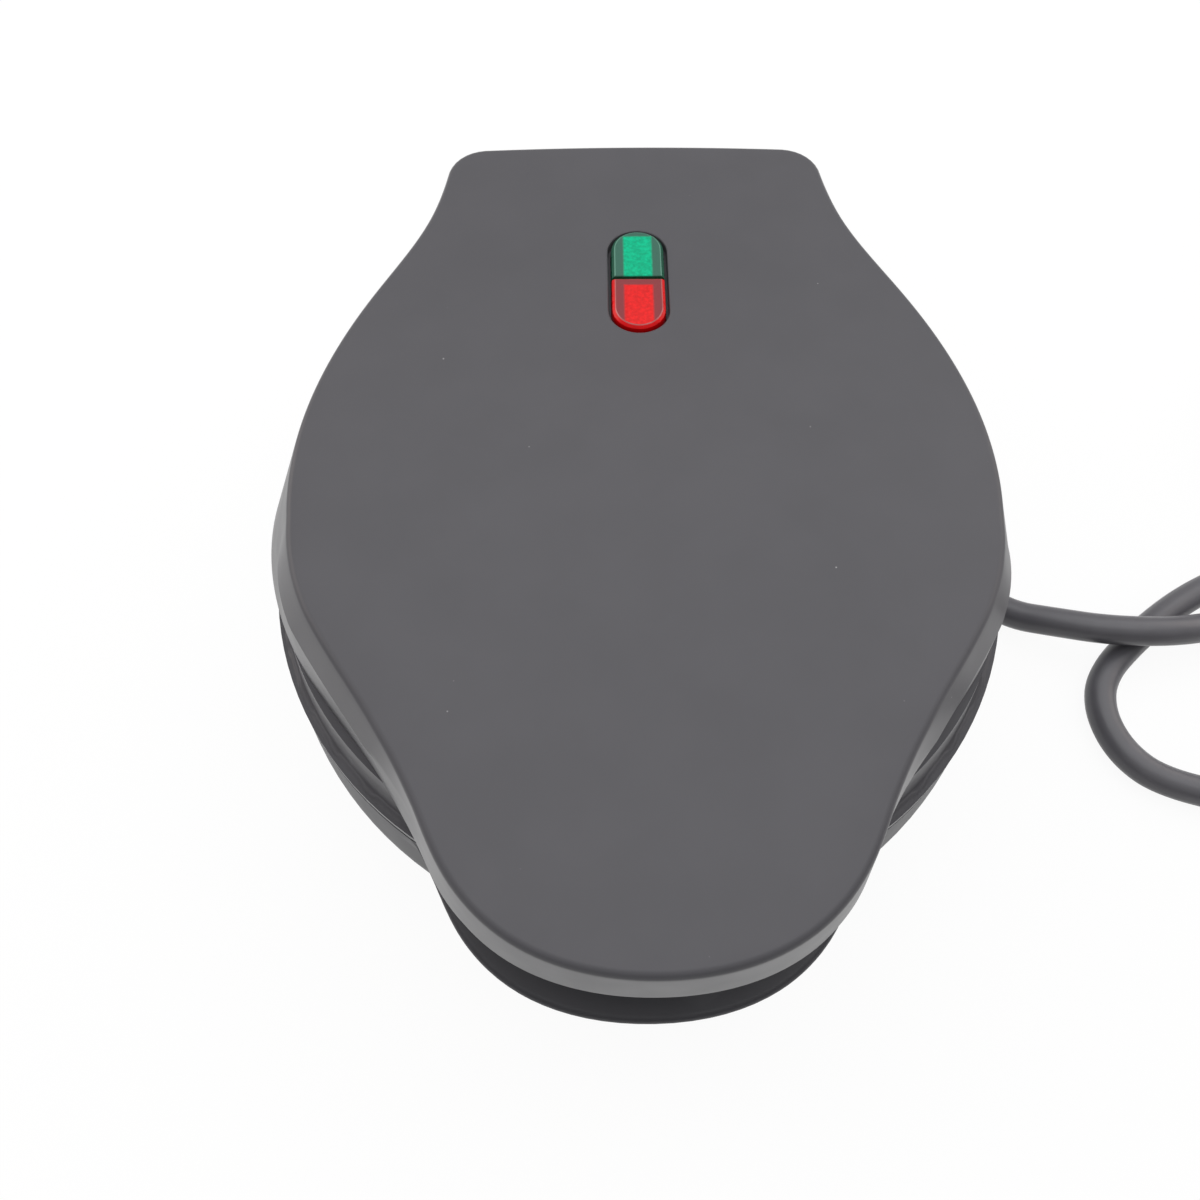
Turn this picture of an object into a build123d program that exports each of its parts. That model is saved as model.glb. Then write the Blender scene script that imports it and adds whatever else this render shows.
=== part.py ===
from build123d import *
import math
import os

# Mini waffle maker, in millimetres: +Z up, hinge towards +Y, handle towards -Y, feet on Z = 0.
# Every sub-part is drawn about the centre of the round body and moved by centre_y when it is saved,
# so that the origin ends up under the middle of the whole housing.

# Round body
rim_radius = 75.3          # lid and base where they meet
band_radius = rim_radius + 0.3     # base, just below its rim
foot_radius = rim_radius - 8.3     # base, at its lower edge
wall = 2.4                 # moulded walls
parting = 42.0             # height at which lid and base meet
parting_gap = 1.0          # between the lid rim and the base rim
base_bottom = 3.0          # lower edge of the base above the surface
band_low = 30.0            # lower end of the steep band of the base
bowl_bulge = 2.6           # how far the bowl swells beyond a straight side

# Lid cover, the pear-shaped cap
seam = 54.0                # cover meets frame
crown = 80.0               # highest point
crown_sag = 2.6            # how much lower the crown is at the tip of the handle
edge_round = 2.0
rear_corner = 6.0
tongue_under = 64.5        # underside of the lid handle at its tip
ramp_start = -0.7968       # where that underside starts to climb from the seam, in rim radii
ramp_end = -1.089

# Lips of the frame
frame_lip = 0.7
frame_lip_height = 1.6
frame_draw = 2.85          # how far the wall of the frame stands back from the rim at the seam
frame_foot = 2.0           # and at its foot
ledge_rise = 1.3           # rise of the sloping ledge between the lip and that wall

# Places along Y that all pear outlines share, in rim radii
rear_neck_y = 0.8300
shoulder_y = 0.5312
flank_y = 0.0266
hip_y = -0.4250
waist_y = -0.7171
neck_y = -0.8964
cheek_y = -1.0292
nose_y = -1.1527

# Half widths of the pear outlines, and the reach and bow of their ends, in rim radii
cap_low = dict(rear=0.5710, flank=0.9907, hip=0.8560, waist=0.6370, neck=0.5339,
               nose=0.3506, rear_y=1.1753, front_y=-1.2523, bow=0.0106)
cap_top = dict(rear=0.5206, flank=0.8490, hip=0.7729, waist=0.5896, neck=0.5020,
               nose=0.3240, rear_y=1.1182, front_y=-1.2483, bow=0.0106)
base_plan = dict(rear=0.5511, flank=0.9031, hip=0.8234, waist=0.6454, neck=0.5339,
                 nose=0.3479, rear_y=1.1527, front_y=-1.2497, bow=0.0000)

rear_reach = cap_low["rear_y"] * rim_radius
tongue_reach = -cap_low["front_y"] * rim_radius
base_rear_reach = base_plan["rear_y"] * rim_radius

# Base tongue and rear pedestal
tongue_low = 22.0
tongue_top = 40.0
tongue_round = 4.0         # lower edge
tongue_edge = 1.2          # upper edge
tongue_draw = 3.2          # how much the tongue draws in from its top to its underside

# Waffle plates
plate_radius = rim_radius - 10.8
plate_flange = 2.5
plate_wall_radius = plate_radius - 4.1
plate_clear = 0.5          # around the flange
cavity_radius = plate_wall_radius - 2.4
cavity_depth = 7.5
plate_floor = 3.0
stud_pitch = 16.0
stud_side = 10.0
stud_height = 5.0
stud_draft = 12.0
ledge_inner = plate_wall_radius + 0.6
ledge_outer = plate_radius + 3.0
ledge_depth = 2.5

# Heating elements
plate_boss_ring = cavity_radius - 6.5
element_ring = plate_boss_ring - 11.5
element_tube = 3.25
element_gap = 80.0         # degrees left open at the rear
element_bend = 7.0
element_leg = 5.0
element_fit = 0.05
pin_size = 1.4             # radius of the terminal pins
pin_length = 5.0
channel_side = 5.6         # half width of the rib that holds the element

# Heat shields
shield_sheet = 0.8
shield_inner = ledge_inner + 0.5
shield_outer = ledge_outer - 1.5
shield_floor = 20.5
plate_boss_radius = 4.0
plate_boss_angles = (30, 150, 270)

# Hinge
hinge_y = rim_radius + 5.7
hinge_z = 46.0
knuckle_radius = 5.0
pin_radius = 2.0
pin_running_fit = 0.08
scoop_radius = 9.2         # room for the lid's rear skirt as it swings
post_middle = 24.0
post_width = 8.0
lug_width = 4.0
lug_gap = 0.5
notch_half = 33.2          # half width of the opening in the rear skirt
deck = 2.4

# Screws: shank radius, head radius, head height
screw_small = (1.2, 2.3, 1.4)
screw_large = (1.5, 2.8, 1.8)
hole_clear = 0.25
thread_fit = 0.03
boss_radius = 3.6
cover_boss_front = (0.2656 * rim_radius, -1.0226 * rim_radius)
cover_boss_rear = (0.4847 * rim_radius, 0.9429 * rim_radius)

# Base cover, feet
cover_radius = foot_radius - 3.2
cover_fit = 0.3
cover_sheet = 2.5
cover_boss_ring = cover_radius - 5.3
cover_boss_height = 13.0
foot_size = 7.0
foot_stem = 3.0
foot_head = 4.4
foot_head_height = 1.6
foot_ring = cover_boss_ring - 8.5

# Indicator lenses and lamps
lens_y = 0.5737 * rim_radius
recess_width = 12.2
recess_length = 28.6
recess_depth = 1.1
lens_width = 10.8
lens_length = 13.3
lens_gap = 0.5
lens_proud = 0.5
lens_bevel = 0.7
lens_fit = 0.15
seat_height = crown - 4.6  # flat seat under the cover that the lens flanges rest against
lens_flange = 1.2
flange_lip = 1.6
holder_depth = 8.0
holder_wall = 1.5
lamp_radius = 2.5
lamp_length = 9.0
holder_screw_x = 12.6

# Thermostat and fuse on the upper plate
thermostat_radius = 8.0
thermostat_height = 8.0
thermostat_pad = 2.0
tab_reach = 6.0            # terminal tabs of the thermostat
tab_sheet = 0.8
fuse_radius = 2.2
fuse_length = 16.0
fuse_x = -22.0
fuse_lead = 0.6
fuse_lead_length = 6.0

# Lead: entry, clamp, terminal block
cord_diameter = 7.0
cord_x = 18.0
cord_z = 15.0
boot_length = 28.0
boot_root = 6.2
boot_tip = 4.4
boot_flange = 2.0
boot_neck = 5.0
boot_collar = 6.4
clamp_y = base_rear_reach - 9.8
clamp_size = (24.0, 7.0, 3.0)
clamp_screw_x = 8.5
block_size = (26.0, 11.0, 10.0)
block_x = -16.0
block_y = base_rear_reach - 10.8
wire_radius = 1.1
loom_radius = 2.5
loom_x = 9.0
loom_gap = 0.3
loom_bend = 5.0
wire_bend = 3.0

# Free cord, from the strain relief to the coil. Its first two points and its last one
# follow the strain relief and the coil; the others lie where the lead lies on the table.
# Points beside the body are given from its right rear corner, one rim radius along X and Y.
floor_z = cord_diameter / 2 + 0.05
end_run = 12.5             # straight run where the lead meets another piece
first_run = 23.4           # and where it leaves the strain relief
cord_points = [
    (-48.8, 74.5, 12.0), (-35.1, 79.0, 8.0), (-21.5, 74.5, 4.8), (-13.0, 62.9, floor_z),
    (-8.8, 47.7, floor_z), (-4.3, 32.7, floor_z), (0.7, 17.7, floor_z), (4.7, 2.7, floor_z),
    (6.2, -12.3, floor_z), (4.1, -31.3, floor_z), (3.2, -49.3, floor_z), (7.7, -60.8, floor_z),
    (16.2, -69.1, 4.6), (25.7, -73.3, 8.3), (36.7, -77.2, 11.3), (51.7, -77.7, 11.3),
    (66.7, -73.7, 7.2), (82.2, -69.1, 4.0), (97.6, -74.5, floor_z), (106.3, -87.9, floor_z),
    (105.5, -103.9, floor_z), (95.4, -116.3, floor_z), (79.9, -120.4, floor_z), (63.4, -117.1, floor_z),
    (44.0, -112.3, floor_z), (36.3, -105.2, floor_z), (33.3, -95.2, floor_z), (35.7, -85.3, floor_z),
    (47.2, -74.4, floor_z), (60.7, -64.5, floor_z), (75.7, -57.3, floor_z), (91.7, -53.7, floor_z + 0.1),
]

# Coil of the length that is put away: half turns that spiral in, climb and spiral out again
coil_centre = (rim_radius + 129.7, rim_radius - 13.3)
coil_radius = 40.0
coil_pitch = 7.5           # from turn to turn, and from layer to layer
coil_z = 4.6
tie_width = 5.0
tie_thickness = 0.8
tie_side_room = 0.5
tie_room = 0.2

# Plug: two round pins and side earth clips
plug_boot = (4.6, 6.2, 14.0)       # rear radius, front radius, length
plug_grip = (11.5, 15.5, 20.0)
plug_head = (18.75, 16.0)          # radius, length
plug_pin_radius = 2.4
plug_pin_length = 19.0
plug_pin_spacing = 19.0
plug_pin_root = 12.0       # thinner end that is held in the plug
plug_root_radius = 2.0
plug_tip_round = 1.4
plug_notch = (9.0, 2.2)            # width, depth
earth_clip = (5.0, 0.8, 14.0)      # width, thickness, length
plug_place = (rim_radius + 163.7, rim_radius + 35.7)    # end of its strain relief
plug_heading = 115.0               # degrees from +X

centre_y = (tongue_reach - rear_reach - cap_low["bow"] * rim_radius) / 2
lid_bottom = parting + parting_gap / 2
base_rim = parting - parting_gap / 2
reach = max(tongue_reach, rear_reach)
crown_sphere = (reach**2 + crown_sag**2) / (2 * crown_sag)
plate_back = base_rim - cavity_depth - plate_floor
channel_depth = element_tube
ledge_bottom = base_rim - plate_flange - ledge_depth
cover_top = base_bottom + cover_sheet
plug_z = math.sqrt(plug_head[0]**2 - (plug_notch[0] / 2) ** 2) + 0.05
boot_end = base_rear_reach + boot_length


def put(shape, x=0.0, y=0.0, z=0.0):
    """The shape, moved."""
    return Pos(x, y, z) * shape


def disc(radius, low, high, x=0.0, y=0.0):
    """A cylinder between two heights."""
    return put(Cylinder(radius, high - low, align=(Align.CENTER, Align.CENTER, Align.MIN)), x, y, low)


def ring(outer, inner, low, high, x=0.0, y=0.0):
    """A plain ring between two heights."""
    return disc(outer, low, high, x, y) - disc(inner, low - 1, high + 1, x, y)


def block(x0, x1, y0, y1, z0, z1):
    """A box between two corners."""
    return put(Box(x1 - x0, y1 - y0, z1 - z0, align=(Align.MIN,) * 3), x0, y0, z0)


def rod(radius, x0, x1, y, z):
    """A cylinder along X."""
    turned = Rot(0, 90, 0) * Cylinder(radius, x1 - x0, align=(Align.CENTER, Align.CENTER, Align.MIN))
    return put(turned, x0, y, z)


def polar(radius, degrees):
    """A point on a circle about the body's centre."""
    angle = math.radians(degrees)
    return radius * math.cos(angle), radius * math.sin(angle)


def flip(shape):
    """The same piece upside down on the other side of the parting plane."""
    return put(mirror(shape, about=Plane.XY), z=2 * parting)


def pear_stations(plan):
    """Half widths and places of a pear outline, from its rear corner to the tip of its tongue."""
    flare = plan["flank"] - plan["rear"]
    cheek = plan["neck"] - 0.37 * (plan["neck"] - plan["nose"])
    shares = [
        (plan["rear"], plan["rear_y"]),
        (plan["rear"] + 0.165 * flare, rear_neck_y),
        (plan["rear"] + 0.57 * flare, shoulder_y),
        (plan["flank"], flank_y),
        (plan["hip"], hip_y),
        (plan["waist"], waist_y),
        (plan["neck"], neck_y),
        (cheek, cheek_y),
        (plan["nose"], nose_y),
        (0.0, plan["front_y"]),
    ]
    return [(x * rim_radius, y * rim_radius) for x, y in shares]


def drawn_in(stations, inset):
    """The stations moved inwards, square to the outline."""
    first, last = stations[0], stations[-1]
    moved = [(first[0] - inset, first[1] - inset)]
    for before, here, after in zip(stations, stations[1:], stations[2:]):
        along = Vector(after[0] - before[0], after[1] - before[1]).normalized()
        moved.append((here[0] + along.Y * inset, here[1] - along.X * inset))
    moved.append((last[0], last[1] + inset))
    return moved


def pear(plan, z, inset=0.0):
    """A pear-shaped face at a height, drawn in by inset all round."""
    right = drawn_in(pear_stations(plan), inset)
    left = [(-x, y) for x, y in right[-2::-1]]
    side = Spline([Vector(x, y) for x, y in right + left])
    x, y = right[0]
    ends = (Vector(-x, y), Vector(x, y))
    bow = plan["bow"] * rim_radius
    rear = ThreePointArc(ends[0], (0, y + bow), ends[1]) if bow else Line(*ends)
    face = make_face(Curve() + [side, rear])
    corners = face.vertices().sort_by(Axis.Y)[-2:]
    return Pos(0, 0, z) * fillet(corners, rear_corner - min(inset, rear_corner / 2))


def crown_ball(inset=0.0):
    """The large ball whose top is the crown of the lid, drawn in by inset."""
    return put(Sphere(crown_sphere - inset), z=crown - crown_sphere)


def crown_height(x, y):
    """Height of the lid's outer surface above a point."""
    return crown - crown_sphere + math.sqrt(crown_sphere**2 - x**2 - y**2)


def side_cut(points):
    """A prism right across the body, from a profile in the YZ plane."""
    profile = make_face(Polyline([(0, y, z) for y, z in points], close=True))
    return extrude(profile, amount=2 * rim_radius, dir=(1, 0, 0), both=True)


def under_ramp(lift):
    """Everything below the underside of the lid handle, lifted by lift."""
    low = parting
    tip = -tongue_reach - wall
    start, end = ramp_start * rim_radius, ramp_end * rim_radius
    return side_cut([(start, low), (start, seam + lift), (end, tongue_under - 1 + lift),
                     (tip, tongue_under + lift), (tip, low)])


def screw(size, length):
    """A pan-head screw, head down, its head resting below Z = 0 and its shank above."""
    shank, head, height = size
    body = disc(shank, 0, length) + disc(head, -height, 0)
    rim = body.faces().sort_by(Axis.Z)[0].edges()
    body = fillet(rim, height * 0.45)
    slot = block(-head, head, -head * 0.12, head * 0.12, -height, -height * 0.55)
    return body - slot - Rot(0, 0, 90) * slot


def tube(path, radius):
    """A round bar along a path that starts at its first point."""
    start = Plane(origin=path @ 0, z_dir=path % 0)
    return sweep(start * Circle(radius), path=path)


def arc_route(points, limit=None):
    """Straight runs joined by tangent arcs, each as large as its two runs allow."""
    radii = []
    for before, here, after in zip(points, points[1:], points[2:]):
        run_in, run_out = Vector(*here) - Vector(*before), Vector(*after) - Vector(*here)
        half_turn = math.radians(run_in.get_angle(run_out) / 2)
        largest = 0.45 * min(run_in.length, run_out.length) / math.tan(half_turn)
        radii.append(largest if limit is None else min(largest, limit))
    return FilletPolyline(points, radius=radii), radii


# Lid cover

def cap_solid(inset=0.0):
    """The cap's outer form, or the room inside it."""
    height = crown + 1
    form = loft([pear(cap_low, seam, inset), pear(cap_top, height, inset)])
    if inset:
        low = pear(cap_low, seam - 1, inset)
        form = form + extrude(low, amount=1)
    return form & crown_ball(inset)


def pill(width, length, low, high, y=lens_y):
    """A flat-sided bar with round ends, along Y."""
    plan = Rot(0, 0, 90) * SlotOverall(length, width)
    return extrude(Pos(0, y, low) * plan, amount=high - low)


def make_lid_cover():
    outer = cap_solid()
    top_face = outer.faces().sort_by(Axis.Z)[-1]
    outer = fillet(top_face.edges(), edge_round)
    inner = cap_solid(wall)
    shell = outer - inner
    posts = Part()
    for side in (-1, 1):
        posts += disc(boss_radius, seam, crown, side * cover_boss_front[0], cover_boss_front[1])
        posts += disc(boss_radius, seam, crown, side * cover_boss_rear[0], cover_boss_rear[1])
        posts += disc(boss_radius - 0.8, seat_height - lens_flange, crown, side * holder_screw_x, lens_y)
    seat = pill(recess_width + 2 * flange_lip + 2, recess_length + 2 * flange_lip + 2, seat_height, crown)
    shell += (posts + seat) & inner
    shell -= under_ramp(0)
    posts_room = under_ramp(wall) & inner
    shell -= posts_room
    recess_floor = crown_height(0, lens_y) - recess_depth
    shell -= pill(recess_width, recess_length, recess_floor, crown + 1)
    lens_room = 2 * lens_length + lens_gap + 2 * lens_fit
    shell -= pill(lens_width + 2 * lens_fit, lens_room, seat_height - 1, crown)
    for side in (-1, 1):
        shank = screw_large[0] + thread_fit
        shell -= disc(shank, seam - 1, seam + 12, side * cover_boss_rear[0], cover_boss_rear[1])
        shell -= disc(shank, seam - 1, tongue_under + 9, side * cover_boss_front[0], cover_boss_front[1])
        shell -= disc(screw_small[0] + thread_fit, seat_height - 3, seat_height + 2.2,
                      side * holder_screw_x, lens_y)
    return shell


# Lid frame

def make_lid_frame():
    lip, lip_height = frame_lip, frame_lip_height
    neck_radius = rim_radius - frame_draw
    opening = plate_radius + plate_clear
    skin = lid_bottom + plate_flange
    profile = Polyline([
        (rim_radius, 0, lid_bottom), (rim_radius, 0, lid_bottom + lip_height),
        (rim_radius - lip, 0, lid_bottom + lip_height),
        (rim_radius - frame_foot, 0, lid_bottom + lip_height + ledge_rise), (neck_radius, 0, seam),
        (neck_radius - wall, 0, seam), (neck_radius - wall, 0, skin), (ledge_outer, 0, skin),
        (ledge_outer, 0, skin + ledge_depth), (ledge_inner, 0, skin + ledge_depth), (ledge_inner, 0, skin),
        (opening, 0, skin), (opening, 0, lid_bottom)], close=True)
    frame = revolve(make_face(profile), axis=Axis.Z)
    outline = extrude(pear(cap_low, lid_bottom + parting_gap / 2), amount=seam - lid_bottom - parting_gap / 2)
    room = extrude(pear(cap_low, lid_bottom, wall), amount=seam - lid_bottom + 1)
    inside = disc(neck_radius - wall / 2, lid_bottom - 1, crown)
    shoulder = shoulder_y * rim_radius
    shelf_rear = ramp_start * rim_radius + 6
    skirt = (outline - room) & block(-band_radius, band_radius, shoulder, reach + 1, lid_bottom, seam)
    deck_plate = room & block(-band_radius, band_radius, shoulder, hinge_y, seam - deck, seam)
    tongue = cap_solid(wall + cover_fit) & under_ramp(wall)
    tongue = tongue - under_ramp(0)
    shelf = room & block(-band_radius, band_radius, -reach, shelf_rear, seam - wall, seam)
    shelf = shelf - under_ramp(-wall)
    frame += (skirt + deck_plate + tongue + shelf) - inside
    riser = ring(neck_radius, neck_radius - wall, seam - 1, crown) & under_ramp(wall)
    frame += riser
    frame -= disc(loom_radius + 0.5, lid_bottom, seam + 1, loom_x, hinge_y - 1)
    frame -= block(-notch_half, notch_half, hinge_y, reach + 1, lid_bottom - 1, seam + 0.1)
    for side in (-1, 1):
        for step in (-1, 1):
            middle = side * post_middle + step * (post_width / 2 + lug_gap + lug_width / 2)
            x0, x1 = middle - lug_width / 2, middle + lug_width / 2
            near = math.sqrt((neck_radius - wall) ** 2 - max(abs(x0), abs(x1)) ** 2)
            lug = block(x0, x1, near, hinge_y + knuckle_radius, hinge_z, seam)
            frame += lug + rod(knuckle_radius, x0, x1, hinge_y, hinge_z)
            frame -= rod(pin_radius, x0 - 1, x1 + 1, hinge_y, hinge_z)
        for x, y in (cover_boss_front, cover_boss_rear):
            frame -= disc(screw_large[0] + hole_clear, lid_bottom, crown, side * x, y)
            frame -= disc(screw_large[1] + 0.4, lid_bottom, screw_seat(y), side * x, y)
    return frame


def screw_seat(y):
    """Height of the lower face of the lid frame where a screw of the cover sits."""
    if y > 0:
        return seam - deck
    climb = (y / rim_radius - ramp_start) / (ramp_end - ramp_start)
    return seam + (tongue_under - 1 - seam) * climb + 1.0


def make_lid_screws():
    screws = []
    for side in (-1, 1):
        for x, y in (cover_boss_front, cover_boss_rear):
            screws.append(put(screw(screw_large, 10), side * x, y, screw_seat(y)))
    return screws


# Base housing

def bowl(inset, top):
    """The round base as a solid, drawn in by inset."""
    foot = foot_radius - inset
    band = band_radius - inset
    slope = Vector(band - foot, band_low - base_bottom).normalized()
    middle = ((foot + band) / 2 + slope.Y * bowl_bulge, (base_bottom + band_low) / 2 - slope.X * bowl_bulge)
    low = base_bottom
    side = ThreePointArc((foot, 0, low), (middle[0], 0, middle[1]), (band, 0, band_low))
    rest = Polyline([(band, 0, band_low), (rim_radius - inset, 0, top), (0, 0, top), (0, 0, low),
                     (foot, 0, low)])
    return revolve(make_face(Curve() + [side, rest]), axis=Axis.Z)


def rear_block(inset, low, high):
    """The pedestal behind the bowl that carries the hinge."""
    return extrude(pear(base_plan, low, inset), amount=high - low) & block(
        -band_radius, band_radius, shoulder_y * rim_radius / 2, reach, low, high)


def front_block(inset, low, high):
    """The tongue in front of the bowl, which draws in towards its underside."""
    form = loft([pear(base_plan, low, inset + tongue_draw), pear(base_plan, high, inset)])
    return form & block(-band_radius, band_radius, -reach, hip_y * rim_radius, low, high)


def make_base_housing():
    opening = plate_radius + plate_clear
    skin = base_rim - plate_flange
    handle = front_block(0, tongue_low, tongue_top)
    ends = handle.faces().sort_by(Axis.Z)
    handle = fillet(ends[0].edges(), tongue_round)
    handle = fillet(handle.faces().sort_by(Axis.Z)[-1].edges(), tongue_edge)
    scoop = rod(scoop_radius, -band_radius, band_radius, hinge_y, hinge_z)
    pedestal = rear_block(0, base_bottom, tongue_top)
    body = bowl(0, base_rim) + handle + pedestal
    body -= scoop
    body -= block(-band_radius, band_radius, hinge_y, reach, hinge_z - scoop_radius, parting)
    hollow = bowl(wall, skin) - disc(band_radius, 0, base_bottom)
    hollow += front_block(wall, tongue_low + wall, tongue_top - wall)
    pedestal_room = rear_block(wall, cover_top, tongue_top - wall)
    hollow += pedestal_room - rod(scoop_radius + wall, -band_radius, band_radius, hinge_y, hinge_z)
    body -= hollow - disc(reach, base_bottom - 1, cover_top)
    body -= disc(cover_radius + cover_fit, base_bottom - 1, cover_top + 0.01)
    body += ring(ledge_outer, ledge_inner, ledge_bottom, skin)
    body -= disc(opening, skin, base_rim + 1)
    body -= disc(ledge_inner, ledge_bottom - 1, skin + 1)
    ribs = Part()
    for count in range(4):
        angle = 90 * count
        x, y = polar(cover_boss_ring, angle)
        arm = block(0, foot_radius + 3 - cover_boss_ring, -1, 1, cover_top, cover_top + cover_boss_height)
        ribs += disc(boss_radius, cover_top, cover_top + cover_boss_height, x, y)
        ribs += put(Rot(0, 0, angle) * arm, x, y)
    body += ribs & bowl(wall / 2, base_rim)
    for count in range(4):
        x, y = polar(cover_boss_ring, 90 * count)
        body -= disc(screw_large[0] + thread_fit, cover_top - 1, cover_top + 10, x, y)
    for side in (-1, 1):
        x0 = side * post_middle - post_width / 2
        stem = block(x0, x0 + post_width, hinge_y - knuckle_radius, hinge_y + knuckle_radius,
                     hinge_z - scoop_radius - wall, hinge_z)
        body += stem + rod(knuckle_radius, x0, x0 + post_width, hinge_y, hinge_z)
        body -= rod(pin_radius + pin_running_fit, x0 - 1, x0 + post_width + 1, hinge_y, hinge_z)
    floor = cover_top
    bearer = cord_z - cord_diameter / 2
    body += block(cord_x - clamp_size[0] / 2, cord_x + clamp_size[0] / 2, clamp_y - clamp_size[1] / 2,
                  clamp_y + clamp_size[1] / 2, floor, bearer + cord_diameter - 0.2)
    channel = put(Rot(90, 0, 0) * Cylinder(cord_diameter / 2, 40), cord_x, clamp_y, cord_z)
    body -= channel & block(-band_radius, band_radius, clamp_y - 10, base_rear_reach - wall - 1, 0, parting)
    body -= block(cord_x - cord_diameter / 2, cord_x + cord_diameter / 2, clamp_y - 6, clamp_y + 6,
                  cord_z, bearer + cord_diameter)
    for side in (-1, 1):
        body -= disc(screw_small[0] + thread_fit, bearer, parting / 2, cord_x + side * clamp_screw_x, clamp_y)
    body -= put(Rot(90, 0, 0) * Cylinder(boot_neck, 20), cord_x, base_rear_reach, cord_z)
    body -= disc(loom_radius + 0.5, floor + 5, hinge_z, -loom_x, hinge_y)
    return body


def make_base_cover():
    plate = disc(cover_radius, base_bottom, cover_top)
    for count in range(4):
        x, y = polar(foot_ring, 45 + 90 * count)
        plate -= disc(foot_stem, base_bottom - 1, cover_top + 1, x, y)
        x, y = polar(cover_boss_ring, 90 * count)
        plate -= disc(screw_large[0] + hole_clear, base_bottom - 1, cover_top + 1, x, y)
        plate -= disc(screw_large[1] + 0.4, base_bottom - 1, cover_top - 0.8, x, y)
    slot = extrude(SlotOverall(34, 3), amount=cover_sheet + 2)
    for row in range(-3, 4):
        plate -= put(slot, 0, row * 8, base_bottom - 1)
    return plate


def make_feet():
    feet = []
    for count in range(4):
        x, y = polar(foot_ring, 45 + 90 * count)
        pad = disc(foot_size, 0, base_bottom)
        pad = fillet(pad.edges().filter_by(GeomType.CIRCLE).sort_by(Axis.Z)[0], 0.8)
        pad += disc(foot_stem, 0, cover_top + 0.1) + disc(foot_head, cover_top, cover_top + foot_head_height)
        feet.append(put(pad, x, y))
    return feet


def make_base_cover_screws():
    return [put(screw(screw_large, 10), *polar(cover_boss_ring, 90 * count), cover_top - 0.8)
            for count in range(4)]


# Waffle plates

def make_plate():
    """The lower plate: flange, cavity with studs, and the rib and bosses on its back."""
    top = base_rim
    floor = top - cavity_depth
    body = disc(plate_wall_radius, plate_back, top) + disc(plate_radius, top - plate_flange, top)
    cavity = put(Cone(cavity_radius - 1, cavity_radius, cavity_depth,
                      align=(Align.CENTER, Align.CENTER, Align.MIN)), z=floor)
    body -= cavity
    stud = extrude(Rectangle(stud_side, stud_side), amount=stud_height, taper=stud_draft)
    studs = Part()
    steps = range(-3, 4)
    limit = cavity_radius - 4
    for column in steps:
        for row in steps:
            x, y = column * stud_pitch, row * stud_pitch
            corner = math.hypot(abs(x) - stud_side / 2, abs(y) - stud_side / 2)
            if corner < limit - 3:
                studs += put(stud, x, y, floor)
    studs = studs & disc(limit, floor, top)
    body += studs
    low = plate_back - channel_depth
    body += ring(element_ring + channel_side, element_ring - channel_side, low, plate_back)
    body -= put(Torus(element_ring, element_tube + element_fit), z=low)
    shield_top = shield_floor + shield_sheet
    for angle in plate_boss_angles:
        x, y = polar(plate_boss_ring, angle)
        body += disc(plate_boss_radius, shield_top, plate_back, x, y)
        body -= disc(screw_large[0] + thread_fit, shield_top - 1, shield_top + 8, x, y)
    body += disc(thermostat_radius + 1, plate_back - thermostat_pad, plate_back)
    return body


def make_element():
    """A tube bent to an open ring, with two legs that turn away from the plate."""
    low = plate_back - channel_depth
    start = 90 + element_gap / 2
    arc = CenterArc((0, 0, low), element_ring, start, 360 - element_gap)
    ends = []
    for parameter, sign in ((0, -1), (1, 1)):
        point, along = arc @ parameter, (arc % parameter) * sign
        turn = point + along * element_bend + Vector(0, 0, -element_bend)
        bend = TangentArc(point, turn, tangent=along)
        ends.append((bend, Line(turn, turn + Vector(0, 0, -element_leg))))
    (bend_a, leg_a), (bend_b, leg_b) = ends
    ring_part = tube(arc, element_tube)
    legs = [tube(bend_a, element_tube) + tube(leg_a, element_tube),
            tube(bend_b, element_tube) + tube(leg_b, element_tube)]
    body = ring_part + legs[0] + legs[1]
    for side in (-1, 1):
        x, y, bottom, top = element_pin(side)
        body += disc(pin_size, bottom, top, x, y)
    return body


def make_shield():
    """A pressed pan behind the plate, hung from the ledge."""
    pan = disc(shield_inner + shield_sheet, shield_floor, ledge_bottom)
    pan -= disc(shield_inner, shield_floor + shield_sheet, ledge_bottom + 1)
    pan += ring(shield_outer, shield_inner + shield_sheet / 2, ledge_bottom - shield_sheet, ledge_bottom)
    for angle in plate_boss_angles:
        x, y = polar(plate_boss_ring, angle)
        pan -= disc(screw_large[0] + hole_clear, shield_floor - 1, shield_floor + 2, x, y)
    for side in (-1, 1):
        angle = 90 + side * element_gap / 2
        x, y = polar(element_ring, angle)
        tangent = Vector(-math.sin(math.radians(angle)), math.cos(math.radians(angle))) * -side
        pan -= disc(element_tube + 1, shield_floor - 1, shield_floor + 2,
                    x + tangent.X * element_bend, y + tangent.Y * element_bend)
    pan -= disc(thermostat_radius + 2, shield_floor - 1, shield_floor + 2)
    return pan


def make_plate_screws():
    return [put(screw(screw_large, 8), *polar(plate_boss_ring, angle), shield_floor)
            for angle in plate_boss_angles]


# Thermostat, fuse, lenses and lamps in the lid

def make_thermostat():
    top = 2 * parting - (plate_back - thermostat_pad)
    cup = disc(thermostat_radius, top, top + thermostat_height * 0.45)
    body = disc(thermostat_radius - 1, top, top + thermostat_height)
    tabs = block(-tab_reach, tab_reach, -3, 3, top + thermostat_height, top + thermostat_height + tab_sheet)
    ears = block(-thermostat_radius - 1, thermostat_radius + 1, -0.4, 0.4, top, top + 1)
    return cup + body + tabs + ears


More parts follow.
